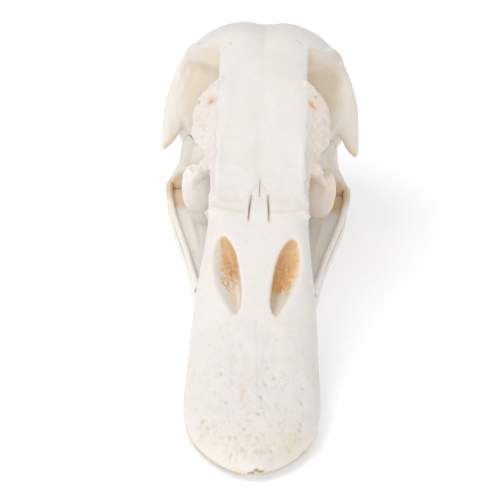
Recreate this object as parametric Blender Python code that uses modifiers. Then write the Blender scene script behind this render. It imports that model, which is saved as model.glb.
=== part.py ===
"""A duck's skull with its lower jaw, life size, in metres: +Z up, bill towards -Y, lying on its lower jaw.

The bones are modelled in millimetres about the hinge between forehead and bill, then moved so that the
origin lies on the floor below the middle of the skull. X is across, Y runs back from the hinge, Z is up.
"""

import math

import bmesh
import bpy
import numpy as np
from mathutils import Matrix, Vector

MM = 0.001

# Driving sizes, in millimetres
BILL_LENGTH = 52.6
SKULL_BACK = 58.0
HINGE_HEIGHT = 24.0
FOREHEAD_HALF_WIDTH = 9.3
ROOF_HALF_WIDTH = 8.5
NOTCH_HALF_WIDTH = 18.5
BILL_HALF_WIDTH = 12.15
TONGUE_HALF_WIDTH = 1.45
TONGUE_HALF_DEPTH = 0.72
BRAINCASE_HALF_WIDTH = 16.2
CROWN_HEIGHT = 40.9
DOME_HEIGHT = 14.0  # of the crown's cross section, which the rear of the roof bends into
DOME_SPAN = 16.5
DOME_POWER = 2.33
FLOOR_SHIFT = -2.7  # moves the middle of the length onto Y = 0
GAP = 0.34  # between bones that touch

# How finely each bone is fused and how many triangles it keeps
FINE_VOXEL = 0.42
COARSE_VOXEL = 0.55
TRIANGLES = {
    "cranium": 5200,
    "upper_bill": 3400,
    "mandible": 2300,
    "lacrimal": 420,
    "quadrate": 380,
    "jugal_bar": 190,
    "palatine": 300,
    "pterygoid": 130,
}
BONE_COLOUR = (0.83, 0.80, 0.73, 1.0)
PALE_COLOUR = (0.86, 0.84, 0.78, 1.0)
WARM_COLOUR = (0.79, 0.74, 0.64, 1.0)


def clear_scene():
    for obj in list(bpy.data.objects):
        bpy.data.objects.remove(obj)


def smooth_curve(stations, values):
    """A function through (station, value) pairs, with slopes taken from the neighbours on both sides."""
    s = np.asarray(stations, float)
    v = np.asarray(values, float)
    slope = np.gradient(v, s, axis=0)

    def at(t):
        t = np.clip(np.asarray(t, float), s[0], s[-1])
        i = np.clip(np.searchsorted(s, t, side="right") - 1, 0, len(s) - 2)
        h = s[i + 1] - s[i]
        u = (t - s[i]) / h
        if v.ndim > 1:
            h, u = h[:, None], u[:, None]
        return (
            v[i] * (1 + 2 * u) * (1 - u) ** 2
            + slope[i] * h * u * (1 - u) ** 2
            + v[i + 1] * u**2 * (3 - 2 * u)
            + slope[i + 1] * h * u**2 * (u - 1)
        )

    return at


def signed_power(value, power):
    return np.sign(value) * np.abs(value) ** power


def mesh_object(name, points, faces):
    mesh = bpy.data.meshes.new(name)
    mesh.from_pydata([tuple(p * MM) for p in points], [], faces)
    obj = bpy.data.objects.new(name, mesh)
    bpy.context.scene.collection.objects.link(obj)
    return obj


def loft(name, rings):
    """A closed body through rings of equally many points, each end closed by a fan about its middle."""
    rings = np.asarray(rings, float)
    count, around = rings.shape[:2]
    points = np.concatenate([rings.reshape(-1, 3), [rings[0].mean(0)], [rings[-1].mean(0)]])
    first, last = count * around, count * around + 1
    faces = []
    for i in range(count - 1):
        for j in range(around):
            k = (j + 1) % around
            faces.append((i * around + j, i * around + k, (i + 1) * around + k, (i + 1) * around + j))
    for j in range(around):
        k = (j + 1) % around
        faces.append((first, k, j))
        faces.append((last, (count - 1) * around + j, (count - 1) * around + k))
    obj = mesh_object(name, points, faces)
    face_out(obj)
    return obj


def face_out(obj):
    work = bmesh.new()
    work.from_mesh(obj.data)
    bmesh.ops.recalc_face_normals(work, faces=work.faces)
    if work.calc_volume(signed=True) < 0:
        bmesh.ops.reverse_faces(work, faces=work.faces)
    work.to_mesh(obj.data)
    work.free()


def blob(name, centre, radii, turn=(0, 0, 0), square=1.0):
    """An ellipsoid from the UV sphere primitive; turn is in degrees about X, Y and Z. A square below 1
    swells it towards a box with rounded edges."""
    work = bmesh.new()
    bmesh.ops.create_uvsphere(work, u_segments=32, v_segments=18, radius=1.0)
    if square < 1:
        for vert in work.verts:
            vert.co = [math.copysign(abs(c) ** square, c) for c in vert.co]
    angles = [math.radians(a) for a in turn]
    spin = Matrix.Rotation(angles[2], 4, "Z") @ Matrix.Rotation(angles[1], 4, "Y")
    spin = spin @ Matrix.Rotation(angles[0], 4, "X")
    size = Matrix.Diagonal((*[r * MM for r in radii], 1.0))
    place = Matrix.Translation(Vector(centre) * MM)
    bmesh.ops.transform(work, matrix=place @ spin @ size, verts=work.verts)
    mesh = bpy.data.meshes.new(name)
    work.to_mesh(mesh)
    work.free()
    obj = bpy.data.objects.new(name, mesh)
    bpy.context.scene.collection.objects.link(obj)
    return obj


def limb(name, path, wide, high, steps=28, around=20):
    """A tapering bar: an ellipse carried along a smooth path. wide and high are its half sizes at each
    point of the path: wide lies level, across the path, and high stands square to both."""
    path = np.asarray(path, float)
    t = np.concatenate([[0], np.cumsum(np.linalg.norm(np.diff(path, axis=0), axis=1))])
    s = np.linspace(0, t[-1], steps)
    centre = smooth_curve(t, path)(s)
    a, b = smooth_curve(t, wide)(s), smooth_curve(t, high)(s)
    ahead = np.gradient(centre, s, axis=0)
    ahead /= np.linalg.norm(ahead, axis=1)[:, None]
    level = np.cross(ahead, [0, 0, 1.0])
    level /= np.linalg.norm(level, axis=1)[:, None]
    up = np.cross(level, ahead)
    angle = np.linspace(0, 2 * math.pi, around, endpoint=False)
    ring = a[:, None, None] * np.cos(angle)[None, :, None] * level[:, None]
    ring = ring + b[:, None, None] * np.sin(angle)[None, :, None] * up[:, None]
    return loft(name, centre[:, None] + ring)


def mirrored(obj, name):
    """The same piece on the other side of the middle plane."""
    twin = bpy.data.objects.new(name, obj.data.copy())
    bpy.context.scene.collection.objects.link(twin)
    twin.data.transform(Matrix.Diagonal((-1, 1, 1, 1)))
    twin.data.flip_normals()
    return twin


def pair(obj):
    return [obj, mirrored(obj, obj.name + "_twin")]


def apply_modifiers(obj):
    graph = bpy.context.evaluated_depsgraph_get()
    mesh = bpy.data.meshes.new_from_object(obj.evaluated_get(graph))
    obj.modifiers.clear()
    old = obj.data
    obj.data = mesh
    bpy.data.meshes.remove(old)


def fuse(name, pieces, voxel, smoothing):
    """One body from overlapping closed pieces, its joins rounded off."""
    work = bmesh.new()
    for piece in pieces:
        work.from_mesh(piece.data)
        bpy.data.objects.remove(piece)
    mesh = bpy.data.meshes.new(name)
    work.to_mesh(mesh)
    work.free()
    obj = bpy.data.objects.new(name, mesh)
    bpy.context.scene.collection.objects.link(obj)
    remesh = obj.modifiers.new("Fuse", "REMESH")
    remesh.mode = "VOXEL"
    remesh.voxel_size = voxel * MM
    if smoothing:
        relax = obj.modifiers.new("Relax", "SMOOTH")
        relax.factor = 0.5
        relax.iterations = smoothing
    apply_modifiers(obj)
    return obj


def as_cutter(obj):
    """Puts a cutter in the cutters' own collection, drawn as wires and left out of renders."""
    cutters = bpy.data.collections.get("duck_skull_cutters")
    for old in list(obj.users_collection):
        old.objects.unlink(obj)
    cutters.objects.link(obj)
    obj.display_type = "WIRE"
    obj.hide_render = True
    return obj


def in_order(obj):
    """Sorts the faces by their corners, so that every run gives the same bone."""
    faces = []
    for face in obj.data.polygons:
        corners = list(face.vertices)
        first = corners.index(min(corners))
        faces.append(corners[first:] + corners[:first])
    mesh = bpy.data.meshes.new(obj.data.name)
    mesh.from_pydata([tuple(vert.co) for vert in obj.data.vertices], [], sorted(faces))
    old = obj.data
    obj.data = mesh
    bpy.data.meshes.remove(old)
    return obj


def cut(obj, cutters):
    """Takes the cutters out of the body, one after another, and removes them."""
    for cutter in cutters:
        take = obj.modifiers.new("Cut", "BOOLEAN")
        take.operation = "DIFFERENCE"
        take.object = as_cutter(cutter)
        take.solver = "MANIFOLD"
        apply_modifiers(obj)
        bpy.data.objects.remove(cutter)
    return in_order(obj)


def keep_largest(obj):
    """Drops loose scraps, so that the bone is one closed surface."""
    work = bmesh.new()
    work.from_mesh(obj.data)
    work.verts.ensure_lookup_table()
    left = set(work.verts)
    shells = []
    while left:
        seed = left.pop()
        shell, edge = {seed}, [seed]
        while edge:
            for link in edge.pop().link_edges:
                for vert in link.verts:
                    if vert in left:
                        left.discard(vert)
                        shell.add(vert)
                        edge.append(vert)
        shells.append(shell)
    largest = max(shells, key=len)
    loose = [v for shell in shells if shell is not largest for v in shell]
    if loose:
        bmesh.ops.delete(work, geom=loose, context="VERTS")
    work.to_mesh(obj.data)
    work.free()
    return obj


def thin_out(obj, triangles, symmetric):
    """Leaves about so many triangles, alike on both sides where the bone is symmetric."""
    work = bmesh.new()
    work.from_mesh(obj.data)
    bmesh.ops.triangulate(work, faces=work.faces)
    count = len(work.faces)
    work.to_mesh(obj.data)
    work.free()
    if count > triangles:
        fewer = obj.modifiers.new("Fewer", "DECIMATE")
        fewer.ratio = triangles / count
        fewer.use_symmetry = symmetric
        fewer.symmetry_axis = "X"
        apply_modifiers(obj)
    return obj


def grown(obj, by):
    """A copy whose surface stands out by so many millimetres."""
    copy = bpy.data.objects.new(obj.name + "_grown", obj.data.copy())
    bpy.context.scene.collection.objects.link(copy)
    mesh = copy.data
    points = np.empty(len(mesh.vertices) * 3)
    mesh.vertices.foreach_get("co", points)
    normals = np.empty(len(mesh.vertices) * 3)
    mesh.vertex_normals.foreach_get("vector", normals)
    mesh.vertices.foreach_set("co", points + normals * by * MM)
    mesh.update()
    return copy


def clear_of(obj, *neighbours):
    """Cuts the bone back from each neighbour, so that the two meet face to face across the gap."""
    cut(obj, [grown(n, GAP) for n in neighbours])
    return keep_largest(obj)


def bone(obj, name, colour):
    """Names a finished bone, gives it its material, and moves it from the hinge to the floor's origin."""
    obj.name = name
    obj.data.name = name
    obj.data.transform(Matrix.Translation((0, FLOOR_SHIFT * MM, 0)))
    material = bpy.data.materials.new(name + "_bone")
    material.use_nodes = True
    shader = material.node_tree.nodes["Principled BSDF"]
    shader.inputs["Base Color"].default_value = colour
    shader.inputs["Roughness"].default_value = 0.55
    shader.inputs["Metallic"].default_value = 0.0
    obj.data.materials.clear()
    obj.data.materials.append(material)
    obj.data.shade_smooth()
    collection = bpy.data.collections.get("duck_skull")
    for old in list(obj.users_collection):
        old.objects.unlink(obj)
    collection.objects.link(obj)


# Profile of forehead and crown along the middle plane, from the hinge back
crown_line = smooth_curve(
    [0, 5, 10, 15, 20, 25, 30, 35, 40, 45, 50, 54, 57, SKULL_BACK],
    [HINGE_HEIGHT, 26.0, 28.4, 31.0, 33.6, 36.1, 38.2, 39.8, CROWN_HEIGHT, 40.1, 37.8, 33.9, 28.0, 22.5],
)
forehead_width = smooth_curve(
    [0, 6, 12, 18, 24, 30, 40],
    [FOREHEAD_HALF_WIDTH, 9.1, 8.6, ROOF_HALF_WIDTH, ROOF_HALF_WIDTH, 8.4, 8.3],
)


def forehead():
    """The flat roof between the orbits, thick in the middle where the septum hangs from it."""
    angle = np.linspace(0, 2 * math.pi, 56, endpoint=False)
    rings = []
    for y in np.linspace(0.0, 40, 34):
        half = forehead_width(y)
        across = signed_power(np.cos(angle), 0.5)
        upper = np.sin(angle) > 0
        up = signed_power(np.sin(angle), 0.42) * np.where(upper, 1.5, 2.6)
        x = half * across
        groove = 0.25 * np.exp(-((x / 2.0) ** 2)) * np.clip((y - 4) / 8, 0, 1)
        bend = DOME_HEIGHT * (1 - (1 - (np.abs(x) / DOME_SPAN) ** DOME_POWER) ** (1 / DOME_POWER)) + 0.35
        bend = bend * np.clip((y - 25) / 13, 0, 1)
        z = crown_line(y) - 1.5 + up - np.where(upper, groove, 0) - bend
        rings.append(np.stack([x, np.full_like(x, y), z], 1))
    return loft("forehead", rings)


def braincase():
    """The domed box behind the orbits, with the shallow groove between its two halves."""
    stations = [27.0, 29, 31, 34, 38, 43, 48, 52, 55, 57, SKULL_BACK]
    width = smooth_curve(
        stations,
        [6.0, 10.5, 13.2, 15.0, 16.0, BRAINCASE_HALF_WIDTH, 15.4, 13.4, 10.6, 7.0, 2.5],
    )
    middle = smooth_curve(stations, [31.0, 30, 29, 28, 27, 26, 25, 24.5, 24, 23, 22.0])
    floor = smooth_curve(stations, [24.0, 19, 16, 13.8, 12.6, 12, 12.2, 13.2, 15.2, 18, 20.5])
    angle = np.linspace(0, 2 * math.pi, 64, endpoint=False)
    rings = []
    for y in np.concatenate([np.linspace(27, 50, 26), np.linspace(50.8, SKULL_BACK, 12)]):
        top, mid, low = crown_line(y), middle(y), floor(y)
        upper = np.sin(angle) > 0
        rise = signed_power(np.sin(angle), 0.86) * (top - mid)
        fall = signed_power(np.sin(angle), 0.92) * (mid - low)
        x = width(y) * signed_power(np.cos(angle), np.where(upper, 0.86, 0.9))
        groove = 0.9 * np.exp(-((x / 2.6) ** 2)) * np.clip((y - 30) / 12, 0, 1)
        z = mid + np.where(upper, rise - groove * np.sin(angle).clip(0), fall)
        rings.append(np.stack([x, np.full_like(x, y), z], 1))
    return loft("braincase", rings)


def postorbital_process():
    """The broad wing behind each orbit, narrowing to a point that hangs down and forward."""
    return limb(
        "postorbital",
        [(11.6, 40.6, 36.6), (13.2, 39.2, 33.8), (14.4, 38.0, 30.2), (15.6, 36.9, 26.8),
         (16.5, 35.8, 23.8), (17.2, 34.8, 21.4), (17.9, 34.0, 19.2), (18.75, 33.4, 17.4)],
        [2.2, 2.8, 3.2, 3.0, 2.6, 2.0, 1.3, 0.4],
        [2.0, 2.6, 2.6, 2.2, 1.7, 1.3, 0.95, 0.4],
    )


def septum():
    """The thin upright wall between the orbits, with the rod of the rostrum along its foot."""
    wall = []
    angle = np.linspace(0, 2 * math.pi, 28, endpoint=False)
    for y in np.linspace(7.0, 36.0, 20):
        top = crown_line(y) - 2.5
        low = 13.6
        half = 0.62 + 1.6 * np.clip((y - 29) / 6, 0, 1)
        z = (top + low) / 2 + (top - low) / 2 * signed_power(np.sin(angle), 0.5)
        x = half * signed_power(np.cos(angle), 0.5)
        wall.append(np.stack([x, np.full_like(x, y), z], 1))
    rod = limb(
        "rostrum",
        [(0, 3.5, 14.6), (0, 10, 14.0), (0, 20, 13.6), (0, 28, 13.6), (0, 38, 14.5)],
        [0.9, 1.5, 1.7, 2.3, 4.5],
        [0.9, 1.3, 1.5, 1.9, 3.0],
    )
    return [loft("septum", wall), rod]


def orbit_cutter():
    """The eye's space: a leaning globe under the roof, open below."""
    pieces = [
        blob("orbit_globe", (12.6, 21.6, 21.8), (11.6, 12.2, 9.6), (27, 0, 0)),
        blob("orbit_floor", (14.0, 21.0, 16.5), (11.6, 11.5, 8.0)),
    ]
    return fuse("orbit_space", pieces, COARSE_VOXEL, 2)


def soft_step(value, start, end):
    """0 before start, 1 after end and an S-shaped rise between them."""
    t = np.clip((value - start) / (end - start), 0, 1)
    return t * t * (3 - 2 * t)


def orbit_wall(x, z):
    """How far back the rear wall of the orbit lies: it leans back as it rises, most at its outer end,
    and the crown's edge overhangs it."""
    lip = 1.5 * soft_step(z, 32.5, 35.5) * (1 - soft_step(x, 12.5, 16.0))
    return 31.0 + 0.33 * (z - 17) + 0.5 * (x - 8) * soft_step(z, 24, 34) - lip


def roof_notch():
    """The notch of the roof behind the lacrimal: a slab whose rear face is the orbit's wall."""
    front, low, high = 16, 21, 47
    wall_z = np.linspace(high, low, 27)
    rings = []
    for x in np.linspace(ROOF_HALF_WIDTH - 0.2, NOTCH_HALF_WIDTH, 16):
        wall = np.stack([np.full_like(wall_z, x), orbit_wall(x, wall_z), wall_z], 1)
        rings.append(np.concatenate([[(x, front, low), (x, front, high)], wall]))
    return loft("roof_notch", rings)


def cranium():
    pieces = [forehead(), braincase(), *septum(), *pair(postorbital_process())]
    pieces += [
        blob("mesethmoid", (0, 6.5, 18.6), (2.4, 5.2, 6.0)),
        blob("basitemporal", (0, 43.5, 14.2), (9.2, 9.6, 3.6)),
        blob("condyle", (0, 56.4, 15.6), (1.7, 1.7, 1.5)),
        blob("condyle_neck", (0, 53.5, 15.8), (3.6, 3.6, 2.2)),
    ]
    pieces += pair(blob("ectethmoid", (4.9, 9.4, 21.4), (4.7, 0.9, 7.2), (0, 0, 10)))
    pieces += pair(blob("basipterygoid", (2.6, 26.8, 13.5), (1.7, 3.2, 1.5)))
    pieces += pair(blob("squamosal", (13.7, 40.0, 20.6), (2.6, 5.2, 4.2)))
    pieces += pair(blob("exoccipital", (11.2, 48.6, 17.2), (3.0, 2.6, 5.6), (0, 14, 24)))
    crest = limb(
        "nuchal_crest",
        [(-13.6, 47.2, 22.5), (-12.0, 50.4, 28.0), (-7.6, 53.9, 32.6), (0, 55.4, 33.6),
         (7.6, 53.9, 32.6), (12.0, 50.4, 28.0), (13.6, 47.2, 22.5)],
        [0.8, 1.1, 1.2, 1.1, 1.2, 1.1, 0.8],
        [0.8, 1.0, 1.1, 1.1, 1.1, 1.0, 0.8],
    )
    pieces.append(crest)
    body = fuse("cranium", pieces, FINE_VOXEL, 5)
    cutters = pair(orbit_cutter()) + pair(roof_notch())
    cutters.append(tongue("tongue_slot", GAP))
    cutters.append(blob("foramen_magnum", (0, 56.6, 19.9), (3.1, 8.0, 2.9), (-14, 0, 0)))
    cutters += pair(blob("fontanelle", (4.5, 56.0, 25.2), (1.2, 3.4, 2.0), (0, 12, 0)))
    cutters += pair(blob("ear", (14.6, 43.6, 17.6), (4.6, 3.4, 3.9)))
    cutters.append(blob("optic_window", (0, 28.4, 20.6), (6.0, 2.1, 1.7)))
    cut(body, cutters)
    keep_largest(body)
    return thin_out(body, TRIANGLES["cranium"], True)


# The bill's outline and heights along its length, from the tip back to the hinge
bill_stations = [-BILL_LENGTH, -52.1, -51.0, -49, -45.7, -42, -38, -33, -28, -22, -16, -10, -4, 0]
bill_width = smooth_curve(
    bill_stations,
    [0.8, 2.3, 4.2, 6.4, 8.95, 10.8, 11.8, BILL_HALF_WIDTH, 12.0, 11.7, 11.4, 10.9, 10.0, 9.5],
)
culmen = smooth_curve(
    bill_stations,
    [3.0, 3.6, 4.3, 5.2, 6.2, 7.0, 7.7, 8.8, 10.2, 12.4, 15.2, 18.5, 21.9, HINGE_HEIGHT],
)
bill_edge = smooth_curve(
    bill_stations,
    [1.5, 1.5, 1.5, 1.5, 1.6, 1.8, 2.2, 2.9, 3.8, 5.0, 6.5, 8.0, 9.5, 10.4],
)


def bill_arch(across, y):
    """How far the bill's section has risen from edge to ridge, at a share of its half width: 0 to 1."""
    power = np.interp(y, [-BILL_LENGTH, -40, -20, -10, 0], [2.2, 2.3, 2.6, 3.6, 5.5])
    return (1 - np.abs(across) ** power).clip(0) ** (1 / power)


def bill_body():
    """A broad spoon: each section is an arch over a hollow palate, wide and flat on top at the base."""
    across = np.linspace(-1, 1, 33)
    rings = []
    for y in np.concatenate([[-BILL_LENGTH, -52.4, -52.1, -51.6, -50.8], np.linspace(-49.6, 0, 38)]):
        half, top, edge = bill_width(y), culmen(y), bill_edge(y)
        over = edge + (top - edge) * bill_arch(across, y)
        vault = np.interp(y, [-BILL_LENGTH, -51, -48, -40, -20, 0], [0.4, 1.4, 2.4, 3.0, 3.1, 3.2])
        under = edge - 0.9 + vault * (1 - np.abs(across) ** 5)
        upper = np.stack([half * across, np.full_like(across, y), over], 1)
        inner = max(half - 0.45, 0.4)
        lower = np.stack([inner * across[::-1], np.full_like(across, y), under[::-1]], 1)
        right, left = [(side * half, y, edge - 0.45) for side in (1, -1)]
        rings.append(np.concatenate([upper, [right], lower, [left]]))
    return loft("bill_body", rings)


def tongue(name, spare=0.0):
    """The narrow strip of the bill that runs back over the hinge into a slot of the forehead."""
    stations = (-4.0, -1.5, 0, 2, 4, 5.6 + spare)
    path = [(0, y, crown_line(max(y, 0)) - 0.75 + 0.42 * min(y, 0)) for y in stations]
    half = TONGUE_HALF_WIDTH + spare + (0.12 if spare else 0)
    deep = TONGUE_HALF_DEPTH + 2.2 * spare
    return limb(name, path, [half] * 5 + [half * 0.7], [deep] * 6, steps=14, around=16)


def bill_top(x, y):
    """Height of the bill's outer surface."""
    return bill_edge(y) + (culmen(y) - bill_edge(y)) * bill_arch(x / bill_width(y), y)


def nostril_cutter():
    """The nostril: its inner side is a steep edge; its floor rises from there into the outer surface."""
    stations = [-19.6, -18.7, -17.2, -14.5, -11.2, -8.6, -6.4, -4.6]
    inner = smooth_curve(stations, [3.7, 3.1, 2.67, 2.68, 3.08, 3.70, 4.65, 6.0])
    outer = smooth_curve(stations, [4.2, 5.0, 5.9, 7.4, 8.5, 8.8, 8.6, 7.7])
    depth = smooth_curve(stations, [0.4, 1.1, 2.1, 3.3, 4.2, 4.1, 3.0, 0.8])
    t = np.linspace(0, 1, 13)
    rings = []
    for y in np.linspace(stations[0], stations[-1], 32):
        a, b, d = inner(y), outer(y), depth(y)
        x = a + (b - a) * t
        z = bill_top(x, y) - d * (1 - t**1.3) ** 1.4
        ring = [(a, y, z[0] + d + 3), *np.stack([x, np.full_like(x, y), z], 1), (b, y, z[-1] + 3)]
        rings.append(ring)
    return loft("nostril", rings)


def upper_bill(cranium_body):
    pieces = [bill_body(), tongue("tongue")]
    pieces += pair(limb(
        "maxilla",
        [(9.4, -20, 6.6), (9.8, -13, 8.0), (10.1, -8, 9.1), (10.3, -4.6, 9.6)],
        [1.0, 1.1, 1.0, 0.8],
        [1.3, 1.4, 1.3, 1.1],
    ))
    body = fuse("upper_bill", pieces, FINE_VOXEL, 5)
    cutters = [blob("antorbital", (0, 7.6, 9.9), (30.0, 11.9, 12.4))]
    cutters += pair(nostril_cutter())
    cutters += pair(blob("hinge_slit", (1.85, -1.4, 24.0), (0.3, 2.3, 1.7), (24, 0, 0)))
    cut(body, cutters)
    keep_largest(body)
    thin_out(body, TRIANGLES["upper_bill"], True)
    return clear_of(body, cranium_body)


# The lacrimal's outer rim along the orbit, and how far it lies below the line of the roof
shelf_stations = [4.6, 8, 11, 13.5, 15.5, 17.5, 19, 21, 23, 24.5, 26, 27, 27.7]
shelf_edge = smooth_curve(
    shelf_stations, [9.4, 9.5, 10.0, 10.8, 11.5, 12.6, 13.5, 13.4, 13.3, 13.0, 11.5, 9.9, 8.8])
shelf_drop = smooth_curve(
    shelf_stations, [1.35, 1.5, 1.9, 3.0, 3.4, 3.8, 4.0, 3.5, 3.1, 2.6, 1.6, 0.9, 0.6])


def lacrimal_shelf():
    """The lacrimal's upper part: it carries on the edge of the roof and slopes down to its outer rim."""
    angle = np.linspace(0, 2 * math.pi, 24, endpoint=False)
    along, across = signed_power(np.cos(angle), 0.7), signed_power(np.sin(angle), 0.8)
    rings = []
    for y in np.linspace(shelf_stations[0], shelf_stations[-1], 32):
        inner = np.array([7.6, crown_line(y) - 0.15])
        outer = np.array([shelf_edge(y), crown_line(y) - shelf_drop(y)])
        length = np.linalg.norm(outer - inner)
        ahead = (outer - inner) / length
        up = np.array([-ahead[1], ahead[0]])
        thick = np.interp(y, [4.6, 10, 15, 27.7], [0.9, 1.0, 1.25, 1.2])
        middle = (inner + outer) / 2 - thick * up
        point = middle + length / 2 * along[:, None] * ahead + thick * across[:, None] * up
        rings.append(np.stack([point[:, 0], np.full(24, y), point[:, 1]], 1))
    return loft("lacrimal_shelf", rings)


def lacrimal(cranium_body, bill_body_object):
    """The pitted bone along the front edge of the orbit, with a broad foot hanging beside the cheek."""
    pieces = [
        lacrimal_shelf(),
        limb(
            "lacrimal_neck",
            [(9.9, 12.6, 26.2), (9.9, 14.6, 24.6), (10.3, 16.9, 22.4),
             (11.0, 18.3, 20.0), (11.4, 18.7, 17.5)],
            [1.4, 1.6, 1.9, 2.3, 1.6],
            [1.2, 0.9, 0.8, 0.8, 0.4],
        ),
        blob("lacrimal_foot", (11.6, 18.0, 18.0), (2.9, 0.95, 5.1), (-6, 4, 5), 0.84),
    ]
    body = fuse("lacrimal", pieces, FINE_VOXEL, 2)
    thin_out(body, TRIANGLES["lacrimal"], False)
    return clear_of(body, cranium_body, bill_body_object)


def quadrate(cranium_body):
    """The hinge bone of the jaw, with its two processes, two condyles and the cup for the cheek bar."""
    pieces = [
        blob("quadrate_body", (13.5, 34.9, 14.4), (1.9, 2.2, 3.2)),
        limb("otic", [(13.6, 35.2, 14.0), (13.6, 36.5, 17.5), (13.3, 38.0, 20.8), (13.0, 39.0, 22.0)],
             [1.7, 1.4, 1.5, 1.2], [1.7, 1.5, 1.6, 1.2]),
        limb("orbital",
             [(13.0, 34.8, 15.0), (11.4, 32.4, 16.8), (9.8, 30.2, 18.4), (9.2, 29.4, 19.2)],
             [1.5, 1.1, 0.9, 0.5], [2.2, 2.3, 2.2, 1.2]),
        blob("orbital_web", (12.5, 34.0, 18.2), (2.3, 1.1, 3.0), (-12, 0, 0)),
        blob("inner_condyle", (12.3, 33.4, 10.9), (1.7, 2.0, 1.5)),
        blob("outer_condyle", (15.2, 32.8, 11.2), (2.0, 2.4, 1.6)),
        blob("cup_web", (14.4, 32.9, 12.6), (2.4, 1.0, 2.0), (0, 30, 0)),
        limb("jugal_cup",
             [(13.4, 35.2, 16.6), (14.5, 34.0, 14.4), (15.8, 32.4, 12.7), (16.7, 31.0, 11.6)],
             [0.9, 0.9, 0.9, 0.8], [1.1, 1.1, 1.0, 0.9]),
    ]
    body = fuse("quadrate", pieces, FINE_VOXEL, 2)
    thin_out(body, TRIANGLES["quadrate"], False)
    return clear_of(body, cranium_body)


def jugal_bar(bill_object, quadrate_object, lacrimal_object):
    """The slender cheek bar from the corner of the bill back to the quadrate."""
    body = limb(
        "jugal",
        [(10.2, -6.4, 9.6), (11.6, 0, 10.1), (12.8, 6.5, 10.3), (14.9, 16, 10.6),
         (16.4, 24, 10.8), (17.0, 29.2, 11.1), (17.05, 31.2, 11.6)],
        [0.75, 0.6, 0.58, 0.58, 0.62, 0.7, 0.7],
        [1.1, 1.0, 0.95, 0.95, 1.0, 1.1, 1.1],
        steps=16,
        around=8,
    )
    thin_out(body, TRIANGLES["jugal_bar"], False)
    return clear_of(body, bill_object, quadrate_object, lacrimal_object)


def jaw_shelf():
    """The shelf on top of each jaw bar, which fills the space between the bar and the cheek bar."""
    stations = [-5.0, -2, 2, 6.5, 12, 17, 21, 25, 28, 31]
    inner = smooth_curve(stations, [9.6, 9.5, 9.5, 9.6, 9.7, 9.8, 10.1, 11.0, 12.3, 13.2])
    outer = smooth_curve(stations, [11.1, 12.0, 12.6, 13.6, 14.9, 16.0, 16.7, 17.1, 17.1, 16.8])
    top = smooth_curve(stations, [7.8, 9.2, 9.9, 10.2, 10.4, 10.5, 10.5, 10.3, 10.0, 9.5])
    angle = np.linspace(0, 2 * math.pi, 24, endpoint=False)
    across, up = signed_power(np.cos(angle), 0.6), signed_power(np.sin(angle), 0.6)
    rings = []
    for y in np.linspace(stations[0], stations[-1], 26):
        x = (inner(y) + outer(y)) / 2 + (outer(y) - inner(y)) / 2 * across
        z = top(y) - 1.4 + 1.4 * up
        rings.append(np.stack([x, np.full(24, y), z], 1))
    return loft("jaw_shelf", rings)


def mandible(quadrates, bill_object, jugals):
    """The lower jaw: two deep bars that meet in a flat scoop inside the bill's tip."""
    path = [
        (3.4, -47.4, 1.1), (5.9, -44.8, 1.15), (7.8, -41, 1.25), (9.0, -36, 1.5),
        (9.5, -30, 2.0), (9.3, -22, 2.6), (8.7, -14, 3.4), (8.7, -7, 4.1), (9.5, 0, 4.7),
        (10.65, 7, 5.1), (11.75, 14, 5.4), (12.6, 20, 5.4), (13.4, 26, 4.9), (14.0, 31, 4.2),
        (13.9, 35, 4.2), (13.2, 40, 5.9), (12.8, 44, 8.6), (12.5, 46.2, 11.0),
    ]
    wide = [1.4, 1.3, 1.1, 1.0, 0.95, 0.95, 1.0, 1.15, 1.3, 1.4, 1.6, 1.7, 1.7, 1.8, 1.8, 1.2, 0.8, 0.4]
    high = [1.1, 1.15, 1.25, 1.5, 2.0, 2.7, 3.5, 4.3, 4.9, 5.2, 5.4, 5.3, 4.8, 4.1, 3.9, 3.1, 2.4, 1.1]
    pieces = pair(limb("ramus", path, wide, high, steps=70, around=22))
    pieces.append(blob("symphysis", (0, -44.4, 1.2), (6.6, 4.4, 1.2)))
    pieces += pair(blob("joint_shelf", (14.1, 32.2, 7.2), (2.9, 4.0, 2.5)))
    pieces += pair(blob("inner_process", (10.4, 33.4, 6.6), (3.0, 1.6, 1.5), (0, 16, 0)))
    pieces += pair(jaw_shelf())
    body = fuse("mandible", pieces, FINE_VOXEL, 3)
    cut(body, [slab("below_floor", (-60, 60), (-90, 90), (-20, 0))])
    keep_largest(body)
    thin_out(body, TRIANGLES["mandible"], True)
    return clear_of(body, bill_object, *quadrates, *jugals)


def slab(name, xs, ys, zs):
    work = bmesh.new()
    bmesh.ops.create_cube(work, size=1.0)
    low = Vector((xs[0], ys[0], zs[0])) * MM
    high = Vector((xs[1], ys[1], zs[1])) * MM
    size = high - low
    place = Matrix.Translation((low + high) / 2) @ Matrix.Diagonal((*size, 1.0))
    bmesh.ops.transform(work, matrix=place, verts=work.verts)
    mesh = bpy.data.meshes.new(name)
    work.to_mesh(mesh)
    work.free()
    obj = bpy.data.objects.new(name, mesh)
    bpy.context.scene.collection.objects.link(obj)
    return obj


def palatine(bill_object, cranium_body):
    """The flat bar of the palate on each side of the rostrum."""
    body = limb(
        "palatine_bar",
        [(4.6, -15, 8.3), (4.9, -7, 9.6), (5.2, 2, 10.4), (5.2, 10, 10.8),
         (4.2, 17, 11.2), (3.2, 22.5, 11.3)],
        [1.3, 1.0, 1.1, 2.1, 2.2, 1.2],
        [0.9, 0.6, 0.6, 0.8, 1.0, 1.0],
        steps=24,
        around=10,
    )
    thin_out(body, TRIANGLES["palatine"], False)
    return clear_of(body, bill_object, cranium_body)


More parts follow.
